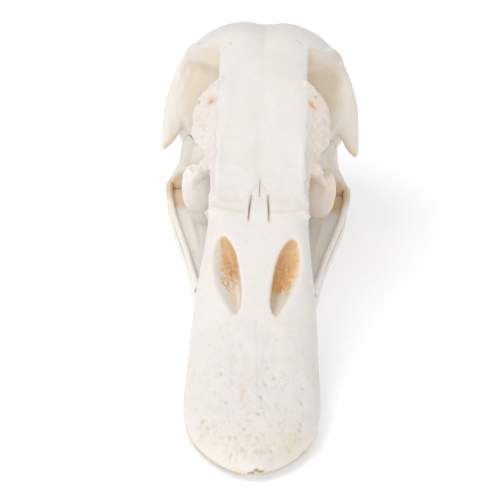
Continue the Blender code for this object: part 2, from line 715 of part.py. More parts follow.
def pterygoid(palatine_object, quadrate_object, cranium_body, mandible_object):
    """The short slanting bar from the palatine's rear end out to the quadrate."""
    body = limb(
        "pterygoid_bar",
        [(3.3, 22.0, 11.2), (5.4, 25.8, 11.3), (8.6, 30.0, 11.5), (12.2, 33.6, 12.2)],
        [1.2, 0.9, 0.9, 1.2],
        [1.1, 1.3, 1.1, 1.1],
        steps=12,
        around=8,
    )
    return clear_of(body, palatine_object, quadrate_object, cranium_body, mandible_object)


def build():
    clear_scene()
    skull = bpy.data.collections.new("duck_skull")
    bpy.context.scene.collection.children.link(skull)
    bpy.context.scene.collection.children.link(bpy.data.collections.new("duck_skull_cutters"))
    head = cranium()
    bill = upper_bill(head)
    left = {"lacrimal": lacrimal(head, bill)}
    left["quadrate"] = quadrate(head)
    left["jugal_bar"] = jugal_bar(bill, left["quadrate"], left["lacrimal"])
    right = {name: mirrored(obj, name + "_mirror") for name, obj in left.items()}
    jaw = mandible(
        [left["quadrate"], right["quadrate"]],
        bill,
        [left["jugal_bar"], right["jugal_bar"]],
    )
    left["palatine"] = palatine(bill, head)
    left["pterygoid"] = pterygoid(left["palatine"], left["quadrate"], head, jaw)
    for name in ("palatine", "pterygoid"):
        right[name] = mirrored(left[name], name + "_mirror")
    bone(head, "cranium", BONE_COLOUR)
    bone(bill, "upper_bill", PALE_COLOUR)
    bone(jaw, "mandible", BONE_COLOUR)
    for name, obj in left.items():
        bone(obj, name + "_left", WARM_COLOUR)
    for name, obj in right.items():
        bone(obj, name + "_right", WARM_COLOUR)


build()
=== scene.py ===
# %% [markdown]
# # A duck's skull, bone by bone
# The skull lies on its lower jaw with the bill towards us. Each bone is one closed surface, built from simple
# forms that are worked out with numpy, melted together, hollowed, and given its grooves, pits and stains.
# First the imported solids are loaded: they fix where every bone goes and how large it is.

# %% Load the frame
import itertools
import math

import bmesh
import bpy
import numpy as np
from mathutils import Matrix, Vector


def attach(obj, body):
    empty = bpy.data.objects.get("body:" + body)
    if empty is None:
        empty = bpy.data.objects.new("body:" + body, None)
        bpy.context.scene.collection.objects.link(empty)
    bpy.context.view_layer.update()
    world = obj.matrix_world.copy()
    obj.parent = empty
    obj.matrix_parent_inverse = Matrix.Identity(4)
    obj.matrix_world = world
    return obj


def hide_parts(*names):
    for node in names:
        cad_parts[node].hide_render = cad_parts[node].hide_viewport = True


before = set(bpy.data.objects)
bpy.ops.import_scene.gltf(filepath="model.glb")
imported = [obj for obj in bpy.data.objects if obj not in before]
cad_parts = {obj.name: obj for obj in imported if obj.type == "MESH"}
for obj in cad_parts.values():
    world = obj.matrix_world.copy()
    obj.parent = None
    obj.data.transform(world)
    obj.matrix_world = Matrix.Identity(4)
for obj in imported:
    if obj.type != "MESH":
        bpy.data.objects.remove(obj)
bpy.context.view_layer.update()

print("bones in the frame:", sorted(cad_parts))

# %% [markdown]
# ## Measures
# All shapes are written in millimetres about the hinge between forehead and bill: X is across, Y runs back
# and Z is up from the floor. A curve through a few measured stations gives every profile, because a bone's
# outline changes slowly along its length and a handful of widths is enough to draw it.

# %% Units and smooth profiles
MM = 0.001
LENGTH_SHIFT = -2.7  # moves the middle of the skull's length over the origin
BILL_LENGTH, SKULL_BACK, HINGE_HEIGHT, CROWN_HEIGHT = 52.6, 58.0, 24.0, 40.9


def smooth_curve(stations, values):
    """A cubic through (station, value) pairs; the slope at each station is taken from its two neighbours."""
    s, v = np.asarray(stations, float), np.asarray(values, float)
    slope = np.gradient(v, s, axis=0)

    def at(t):
        t = np.clip(np.asarray(t, float), s[0], s[-1])
        i = np.clip(np.searchsorted(s, t, side="right") - 1, 0, len(s) - 2)
        h = s[i + 1] - s[i]
        u = (t - s[i]) / h
        if v.ndim > 1:
            h, u = h[:, None], u[:, None]
        start = v[i] * (1 + 2 * u) * (1 - u) ** 2 + slope[i] * h * u * (1 - u) ** 2
        return start + v[i + 1] * u**2 * (3 - 2 * u) + slope[i + 1] * h * u**2 * (u - 1)

    return at


def bulge(value, power):
    """The value's size to a power, with its sign kept: a power below 1 squares a circle off."""
    return np.sign(value) * np.abs(value) ** power


def ramp(value, start, end):
    """0 before start, 1 after end, and an S-shaped rise between them."""
    t = np.clip((value - start) / (end - start), 0, 1)
    return t * t * (3 - 2 * t)


def fade(value, start, end):
    """1 before start, 0 after end: the ramp turned over."""
    return 1 - ramp(value, start, end)


def hump(value, middle, width):
    """exp(-((value - middle) / width)^2): 1 at the middle, about a third at one width from it."""
    return np.exp(-(((value - middle) / width) ** 2))


def span(value, start, full, tail, end):
    """A rise from 0 at start to 1 at full, and a fall from 1 at tail to 0 at end."""
    return ramp(value, start, full) * fade(value, tail, end)


print("profiles ready; the crown stands", CROWN_HEIGHT, "mm high")

# %% [markdown]
# ## Closed surfaces from rings
# A bone could be pushed about in sculpt mode, but then nobody could read how it was made. Here a form is a
# function of two parameters, one along it and one around it. The grid of points becomes triangles in one
# array step, and both ends are closed by a fan, so that every form is a closed skin.

# %% Shells, rings and blocks
def shell(rings):
    """Rings of equally many points, joined row by row; each end ring is closed by a fan about its middle."""
    rings = np.asarray(rings, float)
    rows, around = rings.shape[:2]
    points = np.concatenate([rings.reshape(-1, 3), [rings[0].mean(0)], [rings[-1].mean(0)]])
    i, j = np.meshgrid(np.arange(rows - 1), np.arange(around), indexing="ij")
    a, b = i * around + j, i * around + (j + 1) % around
    c, d = b + around, a + around
    k = np.arange(around)
    k_next, last = (k + 1) % around, (rows - 1) * around
    faces = [np.stack(f, -1).reshape(-1, 3) for f in (
        (a, b, c), (a, c, d),
        (np.full(around, rows * around), k_next, k),
        (np.full(around, rows * around + 1), last + k, last + k_next),
    )]
    faces = np.concatenate(faces)
    corner = points[faces]
    volume = np.einsum("ij,ij->", corner[:, 0], np.cross(corner[:, 1], corner[:, 2]))
    return points, faces if volume > 0 else faces[:, ::-1]


def ringed(x, y, z):
    """The skin through rings whose X, Y and Z are given apart, each repeated to the others' shape."""
    return shell(np.stack(np.broadcast_arrays(x, y, z), -1))


def slab(edge, far, low, high):
    """A block between two lines seen from above, each a pair of X and Y, from the height low up to high."""
    corners = ((edge, low), (far, low), (far, high), (edge, high))
    return shell(np.stack([np.stack(np.broadcast_arrays(*side, level), -1) for side, level in corners], 1))


short_line = np.arange(2.0)
print("a block has", len(slab((0.0, short_line), (1.0, short_line), 0.0, 1.0)[1]), "triangles")

# %% [markdown]
# Three kinds of form do for nearly every bone: an ellipsoid for what is round, a bar for what is long, and a
# shell with its own outline for the rest. What is paired is made on the left side and turned over.

# %% Ellipsoids and bars
def turned(turn):
    """The matrix that turns by degrees about X, then Y, then Z."""
    x, y, z = (math.radians(t) for t in turn)
    return np.array(Matrix.Rotation(z, 3, "Z") @ Matrix.Rotation(y, 3, "Y") @ Matrix.Rotation(x, 3, "X"))


def circle(count):
    """Equal steps of angle, once round."""
    return np.linspace(0, 2 * math.pi, count, endpoint=False)


def blob(centre, radii, turn=(0, 0, 0), square=1.0):
    """An ellipsoid: centre + turn * radii * (cos v cos u, cos v sin u, sin v), each to the power square."""
    u, v = np.meshgrid(circle(56), np.linspace(-1.5, 1.5, 34))
    globe = np.stack([np.cos(v) * np.cos(u), np.cos(v) * np.sin(u), np.sin(v)], -1)
    return shell(bulge(globe, square) * radii @ turned(turn).T + np.asarray(centre))


def bar(path, wide, high, steps=90, around=36):
    """An ellipse carried along a path: centre(s) + wide(s) cos a * level(s) + high(s) sin a * up(s)."""
    path = np.asarray(path, float)
    t = np.concatenate([[0], np.cumsum(np.linalg.norm(np.diff(path, axis=0), axis=1))])
    s = np.linspace(0, t[-1], steps)
    centre = smooth_curve(t, path)(s)
    half_wide, half_high = smooth_curve(t, wide)(s), smooth_curve(t, high)(s)
    ahead = np.gradient(centre, s, axis=0)
    ahead /= np.linalg.norm(ahead, axis=1)[:, None]
    level = np.cross(ahead, [0, 0, 1.0])
    level /= np.linalg.norm(level, axis=1)[:, None]
    up = np.cross(level, ahead)
    a = circle(around)[None, :, None]
    ring = half_wide[:, None, None] * np.cos(a) * level[:, None]
    return shell(centre[:, None] + ring + half_high[:, None, None] * np.sin(a) * up[:, None])


def twin(form):
    """The same form on the other side of the middle plane, turned right side out again."""
    points, faces = form
    return points * (-1, 1, 1), faces[:, ::-1]


def both(form):
    """A form and its twin."""
    return [form, twin(form)]


print("an ellipsoid has", len(blob((0, 0, 0), (1, 1, 1))[1]), "triangles")

# %% [markdown]
# ## Melting, hollowing and finishing
# Forms that overlap are melted into one skin by the voxel Remesh modifier, which also rounds the joins as
# growing bone does. Holes are taken out with the Boolean modifier and the skin is remeshed once more, so
# that it ends as even, fine squares. Those squares carry what follows: every vertex is moved along its
# normal by a depth that is a function of its place, and gets its stains from functions of its place too.

# %% Objects and modifiers
def added(name, data):
    """A new object that holds the data, linked to the scene."""
    obj = bpy.data.objects.new(name, data)
    bpy.context.scene.collection.objects.link(obj)
    return obj


def put(mesh, points):
    """Gives every vertex its place, from millimetres."""
    mesh.vertices.foreach_set("co", (points * MM).astype(np.float32).ravel())


def to_object(name, forms):
    """One mesh that holds all the forms."""
    points = np.concatenate([form[0] for form in forms])
    starts = np.cumsum([0] + [len(form[0]) for form in forms[:-1]])
    faces = np.concatenate([form[1] + start for form, start in zip(forms, starts)]).astype(np.int32)
    mesh = bpy.data.meshes.new(name)
    mesh.vertices.add(len(points))
    put(mesh, points)
    mesh.loops.add(faces.size)
    mesh.loops.foreach_set("vertex_index", faces.ravel())
    mesh.polygons.add(len(faces))
    mesh.polygons.foreach_set("loop_start", np.arange(0, faces.size, 3, dtype=np.int32))
    mesh.update(calc_edges=True)
    return added(name, mesh)


def modified(obj, kind, **settings):
    """Adds one modifier and applies it."""
    modifier = obj.modifiers.new(kind.title(), kind)
    for key, value in settings.items():
        setattr(modifier, key, value)
    graph = bpy.context.evaluated_depsgraph_get()
    mesh = bpy.data.meshes.new_from_object(obj.evaluated_get(graph))
    obj.modifiers.clear()
    old, obj.data = obj.data, mesh
    bpy.data.meshes.remove(old)
    return obj


def melt(obj, voxel, relax):
    """Remeshes the skin in squares of that many millimetres, then smooths it that many times."""
    modified(obj, "REMESH", mode="VOXEL", voxel_size=voxel * MM)
    return modified(obj, "SMOOTH", factor=0.5, iterations=relax) if relax else obj


def carve(obj, cutters, operation="DIFFERENCE"):
    """Takes closed forms out of the bone, one after another, or keeps only what lies in them."""
    for form in cutters:
        cutter = form if isinstance(form, bpy.types.Object) else to_object("cutter", [form])
        modified(obj, "BOOLEAN", operation=operation, solver="MANIFOLD", object=cutter)
        bpy.data.objects.remove(cutter)
    return obj


def twice(obj, name):
    """A second object with its own copy of the skin."""
    return added(name, obj.data.copy())


def mirrored(obj, name):
    """A copy on the other side of the middle plane, its faces flipped, since a mirror turns them in."""
    copy = twice(obj, name)
    copy.data.transform(Matrix.Diagonal((-1, 1, 1, 1)))
    copy.data.flip_normals()
    return copy


# %% [markdown]
# Once a skin is even, its vertices are read as one array of places and one of normals, and a press moves them
# all at once. Cutting can leave loose scraps, so the last helper labels every closed skin and keeps the
# biggest.

# %% Pressing, parting and dropping scraps
def places(obj):
    """Every vertex and its normal, in the millimetres of the design."""
    points, normals = (np.empty(len(obj.data.vertices) * 3, np.float32) for _ in range(2))
    obj.data.vertices.foreach_get("co", points)
    obj.data.vertex_normals.foreach_get("vector", normals)
    return points.reshape(-1, 3).astype(float) / MM, normals.reshape(-1, 3).astype(float)


def press(obj, height):
    """Moves every vertex along its normal by height(points, normals), in millimetres."""
    points, normals = places(obj)
    put(obj.data, points + normals * height(points, normals)[:, None])
    obj.data.update()
    return obj


def apart(obj, neighbours, gap):
    """Cuts the bone back from its neighbours, each swollen by the gap, so that they meet face to face."""
    for other in neighbours:
        carve(obj, [press(twice(other, "swollen"), lambda p, n: np.full(len(p), gap))])
    return largest(obj)


def largest(obj):
    """Keeps the biggest closed skin: labels spread along the edges until each skin has one label."""
    mesh = obj.data
    edges = np.empty(len(mesh.edges) * 2, np.int32)
    mesh.edges.foreach_get("vertices", edges)
    one, two = edges.reshape(-1, 2).T
    label = np.arange(len(mesh.vertices))
    while True:
        low = np.minimum(label[one], label[two])
        spread = label.copy()
        np.minimum.at(spread, one, low)
        np.minimum.at(spread, two, low)
        spread = spread[spread]
        if (spread == label).all():
            break
        label = spread
    names, sizes = np.unique(label, return_counts=True)
    if len(names) > 1:
        skin = bmesh.new()
        skin.from_mesh(mesh)
        scraps = itertools.compress(skin.verts, label != names[sizes.argmax()])
        bmesh.ops.delete(skin, geom=list(scraps), context="VERTS")
        skin.to_mesh(mesh)
        skin.free()
    return obj


print("helpers ready")

# %% [markdown]
# ## Marks on bone
# Old, cleaned bone is never even: it has pores, fine grain and vessel grooves, and its hollows keep a
# stain. Three kinds of mark are enough to place all of these: a soft spot about a point, a soft stripe along
# a line, and a seeded noise for what has no plan.

# %% Spots, stripes and noise
def spot(points, centre, radii):
    """exp(-d^2), where d is the distance from the centre measured in radii."""
    return np.exp(-(((points - centre) / radii) ** 2).sum(1))


def stripe(points, start, end, radius):
    """exp(-(d / radius)^2), where d is the distance to the line from start to end."""
    start, end = np.asarray(start, float), np.asarray(end, float)
    along = np.clip((points - start) @ (end - start) / ((end - start) ** 2).sum(), 0, 1)
    away = points - start - along[:, None] * (end - start)
    return np.exp(-(away**2).sum(1) / radius**2)


def stripes(points, path, radius):
    """The strongest stripe along a path of several points."""
    pairs = zip(path[:-1], path[1:])
    return np.max([stripe(points, a, b, radius) for a, b in pairs], axis=0)


def on_both(mark, points, *place):
    """The same mark at its place and at the mirrored one: X is taken without its sign."""
    return mark(np.abs(points) * (1, 0, 0) + points * (0, 1, 1), *place)


def line(points, path, radius):
    """The strongest stripe along a path of (x, y) points, seen from above: heights do not count."""
    return stripes(points * (1, 1, 0), [(x, y, 0) for x, y in path], radius)


def grain(points, size, seed):
    """Noise from -1 to 1: random values on a cubic grid of that size, blended with S-shaped weights."""
    table = np.random.default_rng(seed).uniform(-1, 1, 4096)
    q = points / size
    cell = np.floor(q).astype(np.int64)
    f = q - cell
    f = f * f * (3 - 2 * f)
    total = np.zeros(len(points))
    for corner in itertools.product((0, 1), repeat=3):
        x, y, z = (cell + corner).T
        weight = np.where(corner, f, 1 - f).prod(1)
        total += weight * table[(x * 73856093 ^ y * 19349663 ^ z * 83492791) % 4096]
    return total


def pits(points, middles, radius):
    """The strongest of many small dips, half as long again along Y, at (x, y) places seen from above."""
    best = np.zeros(len(points))
    for (x, y), r in zip(middles, radius):
        near = (np.abs(points[:, 0] - x) < 3 * r) & (np.abs(points[:, 1] - y) < 4 * r)
        d = ((points[near, 0] - x) ** 2 + ((points[near, 1] - y) / 1.5) ** 2) / r**2
        best[near] = np.maximum(best[near], np.exp(-d))
    return best


print("noise at the hinge:", grain(np.array([[0.0, 0.0, HINGE_HEIGHT]]), 3, 1).round(3))

# %% [markdown]
# ## Profiles of the head
# The line of forehead and crown follows the photograph as far as one view allows, and otherwise what is usual
# for a duck: a long flat forehead that rises to a domed crown in two soft humps.

# %% Crown line and forehead
crown_line = smooth_curve(
    [0, 5, 10, 15, 20, 25, 30, 35, 40, 45, 50, 54, 57, SKULL_BACK],
    [HINGE_HEIGHT, 26.0, 28.4, 31.0, 33.6, 36.1, 38.2, 39.8, CROWN_HEIGHT, 40.1, 37.8, 33.9, 28.0, 22.5],
)
forehead_width = smooth_curve([0, 6, 12, 18, 24, 30, 40], [9.3, 9.1, 8.6, 8.5, 8.5, 8.4, 8.3])


def forehead():
    """A flat roof: at each station a squared oval, 1.5 mm up and 2.6 mm down, bent to the dome behind."""
    angle = circle(160)
    y = np.linspace(0, 40, 120)[:, None]
    x = forehead_width(y) * bulge(np.cos(angle), 0.5)
    upper = np.sin(angle) > 0
    up = bulge(np.sin(angle), 0.42) * np.where(upper, 1.5, 2.6)
    groove = 0.25 * hump(x, 0, 2.0) * np.clip((y - 4) / 8, 0, 1)
    bend = 14.0 * (1 - (1 - (np.abs(x) / 16.5) ** 2.33) ** (1 / 2.33)) + 0.35
    z = crown_line(y) - 1.5 + up - np.where(upper, groove, 0) - bend * np.clip((y - 25) / 13, 0, 1)
    return ringed(x, y, z)


case_stations = [27.0, 29, 31, 34, 38, 43, 48, 52, 55, 57, SKULL_BACK]
case_width = smooth_curve(case_stations, [6.0, 10.5, 13.2, 15.0, 16.0, 16.2, 15.4, 13.4, 10.6, 7.0, 2.5])
case_middle = smooth_curve(case_stations, [31.0, 30, 29, 28, 27, 26, 25, 24.5, 24, 23, 22.0])
case_floor = smooth_curve(case_stations, [24.0, 19, 16, 13.8, 12.6, 12, 12.2, 13.2, 15.2, 18, 20.5])


def braincase():
    """A dome: at each station a rounded oval with its own top, middle, floor and width, grooved on top."""
    angle = circle(160)
    y = np.concatenate([np.linspace(27, 50, 60), np.linspace(50.4, SKULL_BACK, 30)])[:, None]
    upper = np.sin(angle) > 0
    rise = bulge(np.sin(angle), 0.86) * (crown_line(y) - case_middle(y))
    fall = bulge(np.sin(angle), 0.92) * (case_middle(y) - case_floor(y))
    x = case_width(y) * bulge(np.cos(angle), np.where(upper, 0.86, 0.9))
    groove = 0.9 * hump(x, 0, 2.6) * np.clip((y - 30) / 12, 0, 1) * np.sin(angle).clip(0)
    z = case_middle(y) + np.where(upper, rise - groove, fall)
    return ringed(x, y, z)


def septum():
    """The thin upright wall between the orbits: at each station a flat squared oval from roof to rod."""
    angle = circle(60)
    y = np.linspace(7, 36, 60)[:, None]
    top, low = crown_line(y) - 2.5, 13.6
    x = (0.62 + 1.6 * np.clip((y - 29) / 6, 0, 1)) * bulge(np.cos(angle), 0.5)
    z = (top + low) / 2 + (top - low) / 2 * bulge(np.sin(angle), 0.5)
    return ringed(x, y, z)


print("forehead", len(forehead()[1]), "and braincase", len(braincase()[1]), "triangles before melting")

# %% [markdown]
# ## The cranium
# Forehead, braincase, the wall between the orbits and the two wings behind them grow together in life, so
# they are one piece here. The eye's space is carved out as a leaning globe, with a squared notch in the roof
# behind it. The hole for the spinal cord opens at the back.

# %% Cranium: forms and hollows
cranium_forms = [forehead(), braincase(), septum()]
cranium_forms.append(bar(
    [(0, 3.5, 14.6), (0, 10, 14.0), (0, 20, 13.6), (0, 28, 13.6), (0, 38, 14.5)],
    [0.9, 1.5, 1.7, 2.3, 4.5], [0.9, 1.3, 1.5, 1.9, 3.0],
))
cranium_forms += both(bar(
    [(11.6, 40.6, 36.6), (13.2, 39.2, 33.8), (14.4, 38.0, 30.2), (15.6, 36.9, 26.8), (16.5, 35.8, 23.8),
     (17.2, 34.8, 21.4), (17.9, 34.0, 19.2), (18.75, 33.4, 17.4)],
    [2.2, 2.8, 3.2, 3.0, 2.6, 2.0, 1.3, 0.4], [2.0, 2.6, 2.6, 2.2, 1.7, 1.3, 0.95, 0.4],
))
cranium_forms += [
    blob((0, 6.5, 18.6), (2.4, 5.2, 6.0)),
    blob((0, 43.5, 14.2), (9.2, 9.6, 3.6)),
    blob((0, 56.4, 15.6), (1.7, 1.7, 1.5)),
    blob((0, 53.5, 15.8), (3.6, 3.6, 2.2)),
]
for centre, radii, turn in (
    ((4.9, 9.4, 21.4), (4.7, 0.9, 7.2), (0, 0, 10)),
    ((2.6, 26.8, 13.5), (1.7, 3.2, 1.5), (0, 0, 0)),
    ((13.7, 40.0, 20.6), (2.6, 5.2, 4.2), (0, 0, 0)),
    ((11.2, 48.6, 17.2), (3.0, 2.6, 5.6), (0, 14, 24)),
):
    cranium_forms += both(blob(centre, radii, turn))
cranium_forms.append(bar(
    [(-13.6, 47.2, 22.5), (-12.0, 50.4, 28.0), (-7.6, 53.9, 32.6), (0, 55.4, 33.6),
     (7.6, 53.9, 32.6), (12.0, 50.4, 28.0), (13.6, 47.2, 22.5)],
    [0.8, 1.1, 1.2, 1.1, 1.2, 1.1, 0.8], [0.8, 1.0, 1.1, 1.1, 1.1, 1.0, 0.8],
))


def roof_notch():
    """A block beside the roof; its rear is y = 31 + 0.33 (z - 17) + 0.5 (x - 8) ramp(z, 24, 34) - lip."""
    x, z = np.linspace(8.3, 18.5, 60)[:, None], np.linspace(47, 21, 90)[None, :]
    lip = 1.5 * ramp(z, 32.5, 35.5) * fade(x, 12.5, 16.0)
    rear = 31 + 0.33 * (z - 17) + 0.5 * (x - 8) * ramp(z, 24, 34) - lip
    inside = x + 0.35 * np.sin(1.1 * z + 0.8) * fade(x, 8.3, 10.0)
    rear = np.stack([inside, rear, z + 0 * x], -1)
    low, high = ([[(at, 16.0, height)] for at in x[:, 0]] for height in (21.0, 47.0))
    return shell(np.concatenate([low, high, rear], 1))


head = melt(to_object("head", cranium_forms), 0.38, 5)
orbit = melt(to_object("orbit", [
    blob((12.6, 21.6, 21.8), (11.6, 12.2, 9.6), (27, 0, 0)),
    blob((14.0, 21.0, 16.5), (11.6, 11.5, 8.0)),
]), 0.5, 2)
carve(head, [orbit, mirrored(orbit, "other_orbit")])
melt(head, 0.36, 6)
carve(head, [
    *both(roof_notch()),
    blob((0, 56.6, 19.9), (3.1, 8.0, 2.9), (-14, 0, 0)),
    *both(blob((4.5, 56.0, 25.2), (1.2, 3.4, 2.0), (0, 12, 0))),
    *both(blob((14.6, 43.6, 17.6), (4.6, 3.4, 3.9))),
    blob((0, 28.4, 20.6), (6.0, 2.1, 1.7)),
])
print("braincase and orbits:", len(head.data.polygons), "faces")

# %% [markdown]
# ## The bill
# The upper bill is a broad spoon. Each section is an arch over a hollow palate, nearly square at the base and
# round at the tip. It is made a little too long at the back, so that it runs into the forehead.

# %% Bill body
bill_stations = [-BILL_LENGTH, -52.1, -51.0, -49, -45.7, -42, -38, -33, -28, -22, -16, -10, -4, 0]
bill_width = smooth_curve(
    bill_stations, [0.8, 2.3, 4.2, 6.4, 8.95, 10.8, 11.8, 12.15, 12.0, 11.7, 11.4, 10.9, 10.0, 9.5])
culmen = smooth_curve(
    bill_stations, [3.0, 3.6, 4.3, 5.2, 6.2, 7.0, 7.7, 8.8, 10.2, 12.4, 15.2, 18.5, 21.9, HINGE_HEIGHT])
bill_edge = smooth_curve(
    bill_stations, [1.5, 1.5, 1.5, 1.5, 1.6, 1.8, 2.2, 2.9, 3.8, 5.0, 6.5, 8.0, 9.5, 10.4])


def bill_power(y):
    """How square a section of the bill is: the power p of its arch, high at the base and low at the tip."""
    return np.interp(y, [-BILL_LENGTH, -40, -20, -10, 0], [2.2, 2.3, 2.6, 3.6, 5.5])


def bill_body():
    """Sections across the bill: edge + (top - edge)(1 - |u|^p)^(1/p) above and a vault 1 - |u|^5 below."""
    u = np.sin(np.linspace(-math.pi / 2, math.pi / 2, 121))
    tip = [-BILL_LENGTH, -52.5, -52.35, -52.1, -51.8, -51.4, -50.9, -50.3]
    y = np.concatenate([tip, np.linspace(-49.6, 2.4, 124)])[:, None]
    half, top, edge = bill_width(y), culmen(y) + 0.42 * y.clip(0), bill_edge(y)
    power = bill_power(y)
    over = edge + (top - edge) * (1 - np.abs(u) ** power).clip(0) ** (1 / power)
    vault = np.interp(y, [-BILL_LENGTH, -51, -48, -40, -20, 0], [0.4, 1.4, 2.4, 3.0, 3.1, 3.2])
    under = edge - 0.9 + vault * (1 - np.abs(u[::-1]) ** 5)
    upper = np.stack([half * u, y + 0 * u, over], -1)
    lower = np.stack([np.maximum(half - 0.45, 0.4) * u[::-1], y + 0 * u, under], -1)
    side = np.concatenate([half, y, edge - 0.45], 1)[:, None]
    return shell(np.concatenate([upper, side, lower, side * (-1, 1, 1)], 1))


bill_forms = [bill_body()]
bill_forms += both(bar(
    [(9.4, -20, 6.6), (9.8, -13, 8.0), (10.1, -8, 9.1), (10.3, -4.6, 9.6)],
    [1.0, 1.1, 1.0, 0.8], [1.3, 1.4, 1.3, 1.1],
))
bill = melt(to_object("bill", bill_forms), 0.34, 3)
carve(bill, [blob((0, 7.6, 9.9), (30.0, 11.9, 12.4))])
print("bill:", len(bill.data.polygons), "faces")

# %% [markdown]
# The nostrils are long openings with a steep inner side; their floor rises from there into the bill's outer
# surface. A wedge is carved for each: its inner and outer edges and its depth are three profiles.

# %% Nostrils
nostril_stations = [-19.6, -18.7, -17.2, -14.5, -11.2, -8.6, -6.4, -4.6]
nostril_inner = smooth_curve(nostril_stations, [3.7, 3.1, 2.67, 2.68, 3.08, 3.70, 4.65, 6.0])
nostril_outer = smooth_curve(nostril_stations, [4.2, 5.0, 5.9, 7.4, 8.5, 8.8, 8.6, 7.7])
nostril_depth = smooth_curve(nostril_stations, [0.4, 1.1, 2.1, 3.3, 4.2, 4.1, 3.0, 0.8])


def bill_top(x, y):
    """Height of the bill's outer surface: edge + (top - edge)(1 - |x / half|^p)^(1/p)."""
    power = bill_power(y)
    arch = (1 - np.abs(x / bill_width(y)) ** power).clip(0) ** (1 / power)
    return bill_edge(y) + (culmen(y) - bill_edge(y)) * arch


def nostril():
    """Across the wedge t runs from 0 to 1 outside; the floor is surface + 0.3 t^3 - depth (1 - t^1.3)^1.4."""
    y, t = np.linspace(-19.6, -4.6, 110)[:, None], np.linspace(0, 1, 50)[None, :]
    inside, outside = nostril_inner(y), nostril_outer(y)
    x = inside + (outside - inside) * t
    bed = bill_top(x, y) + 0.3 * t**3 - nostril_depth(y) * (1 - t**1.3) ** 1.4
    bed = np.stack([x, y + 0 * t, bed], -1)
    lid = [np.concatenate([edge, y, bill_top(edge, y) + 3], 1)[:, None] for edge in (inside, outside)]
    return shell(np.concatenate([lid[0], bed, lid[1]], 1))


carve(bill, both(nostril()))
print("with nostrils:", len(bill.data.polygons), "faces")

# %% [markdown]
# ## Lacrimals
# On each side the lacrimal lines the front of the orbit. Its head is a rough, pinkish shelf that carries on
# the forehead's edge and slopes down outwards; from it a neck goes down to a broad, rounded foot that hangs
# beside the cheek.

# %% Lacrimal forms
shelf_stations = [0.6, 3.6, 8, 11, 13.5, 15.5, 17.5, 19, 21, 23, 24.5, 26, 27, 27.7]
shelf_edge = smooth_curve(
    shelf_stations, [9.3, 9.35, 9.5, 10.0, 10.8, 11.5, 12.6, 13.5, 13.4, 13.3, 13.0, 11.5, 9.9, 8.8])
shelf_drop = smooth_curve(
    shelf_stations, [1.0, 1.3, 1.5, 1.9, 3.0, 3.4, 3.8, 4.0, 3.5, 3.1, 2.6, 1.6, 0.9, 0.6])


def lacrimal_shelf():
    """At each station a squared oval that lies on the line from the forehead's edge to the outer rim."""
    y = np.linspace(0.6, 27.7, 110)[:, None]
    inner = np.concatenate([0 * y + 7.6, crown_line(y) + 0.35 * span(y, 5, 10, 20, 25)], 1)
    outer = np.concatenate([shelf_edge(y), crown_line(y) - shelf_drop(y)], 1)
    ahead = outer - inner
    size = np.linalg.norm(ahead, axis=1)[:, None]
    ahead = ahead / size
    up = np.stack([-ahead[:, 1], ahead[:, 0]], 1)
    thick = np.interp(y, [0.6, 10, 15, 27.7], [0.9, 1.0, 1.25, 1.2])
    angle = circle(56)
    along = bulge(np.cos(angle), 0.7)[None, :, None] * (size / 2)[:, None]
    across = bulge(np.sin(angle), 0.8)[None, :, None] * thick[:, None]
    ring = ((inner + outer) / 2 - thick * up)[:, None] + along * ahead[:, None] + across * up[:, None]
    return ringed(ring[..., 0], y, ring[..., 1])


lacrimal_forms = [
    lacrimal_shelf(),
    bar(
        [(9.9, 12.6, 26.2), (9.9, 14.6, 24.6), (10.3, 16.9, 22.4), (11.0, 18.3, 20.0), (11.4, 18.7, 17.5)],
        [1.4, 1.6, 1.9, 2.3, 1.6], [1.2, 0.9, 0.8, 0.8, 0.4]),
    blob((11.6, 18.0, 18.0), (2.9, 0.95, 5.1), (-6, 4, 5), 0.84),
]
print("lacrimal shelf:", len(lacrimal_forms[0][1]), "triangles")

# %% [markdown]
# ## One skin first, then the seams
# In a grown bird the bones of forehead, bill and lacrimal meet so closely that the seams are hairlines.
# So the three are melted into one skin, with one surface running across all of them, and only then parted
# along thin curtains: the hinge line, the strip of the bill that runs back over the hinge, and the
# lacrimal's inner edge. A copy for each bone is remeshed finely before it is trimmed, so the trimmed edges
# stay sharp.

# %% Curtains
HAIRLINE = 0.006  # the width of a seam
FAR = 90.0  # well past either end of the skull
hinge_line = smooth_curve([0, 3, 5, 7, 8.5, 9.2, 9.8, 40], [-0.4, -0.35, 0.0, 0.55, 0.9, 1.1, 0.0, 0.0])


def hinge_block(front, shift):
    """A slab carried across the skull: its one end is the hinge line, moved by shift, the other far away."""
    x = np.linspace(-40, 40, 241)
    return slab((x, hinge_line(np.abs(x)) + shift), (x, -FAR if front else FAR), -20.0, 70.0)


def strip_block(spare):
    """The bill's strip over the hinge: a rectangle, 1.7 mm deep, narrowing as it runs back on the crown."""
    y = np.linspace(-4.0, 6.4 + spare, 80)
    stations, half_widths = [-4, -1.4, 0.4, 2.2, 4.0, 5.4, 6.4], [1.88, 1.84, 1.74, 1.62, 1.48, 0.8, 0.06]
    half = np.interp(y, stations, half_widths) + spare
    low = crown_line(y) + 0.42 * y.clip(max=0) - 1.7 - spare
    return slab((-half, y), (half, y), low, 50.0)


def lacrimal_block(spare):
    """All that lies outside a wavy line, x = 8.45 + 0.16 sin 0.9y + 0.1 sin(2.3y + 1)."""
    y = np.linspace(4.4 - spare, 28.4 + spare, 90)
    inner = 8.45 + 0.16 * np.sin(0.9 * y) + 0.10 * np.sin(2.3 * y + 1) - spare
    return slab((inner, y), (30.0, y), 5.0, 60.0)


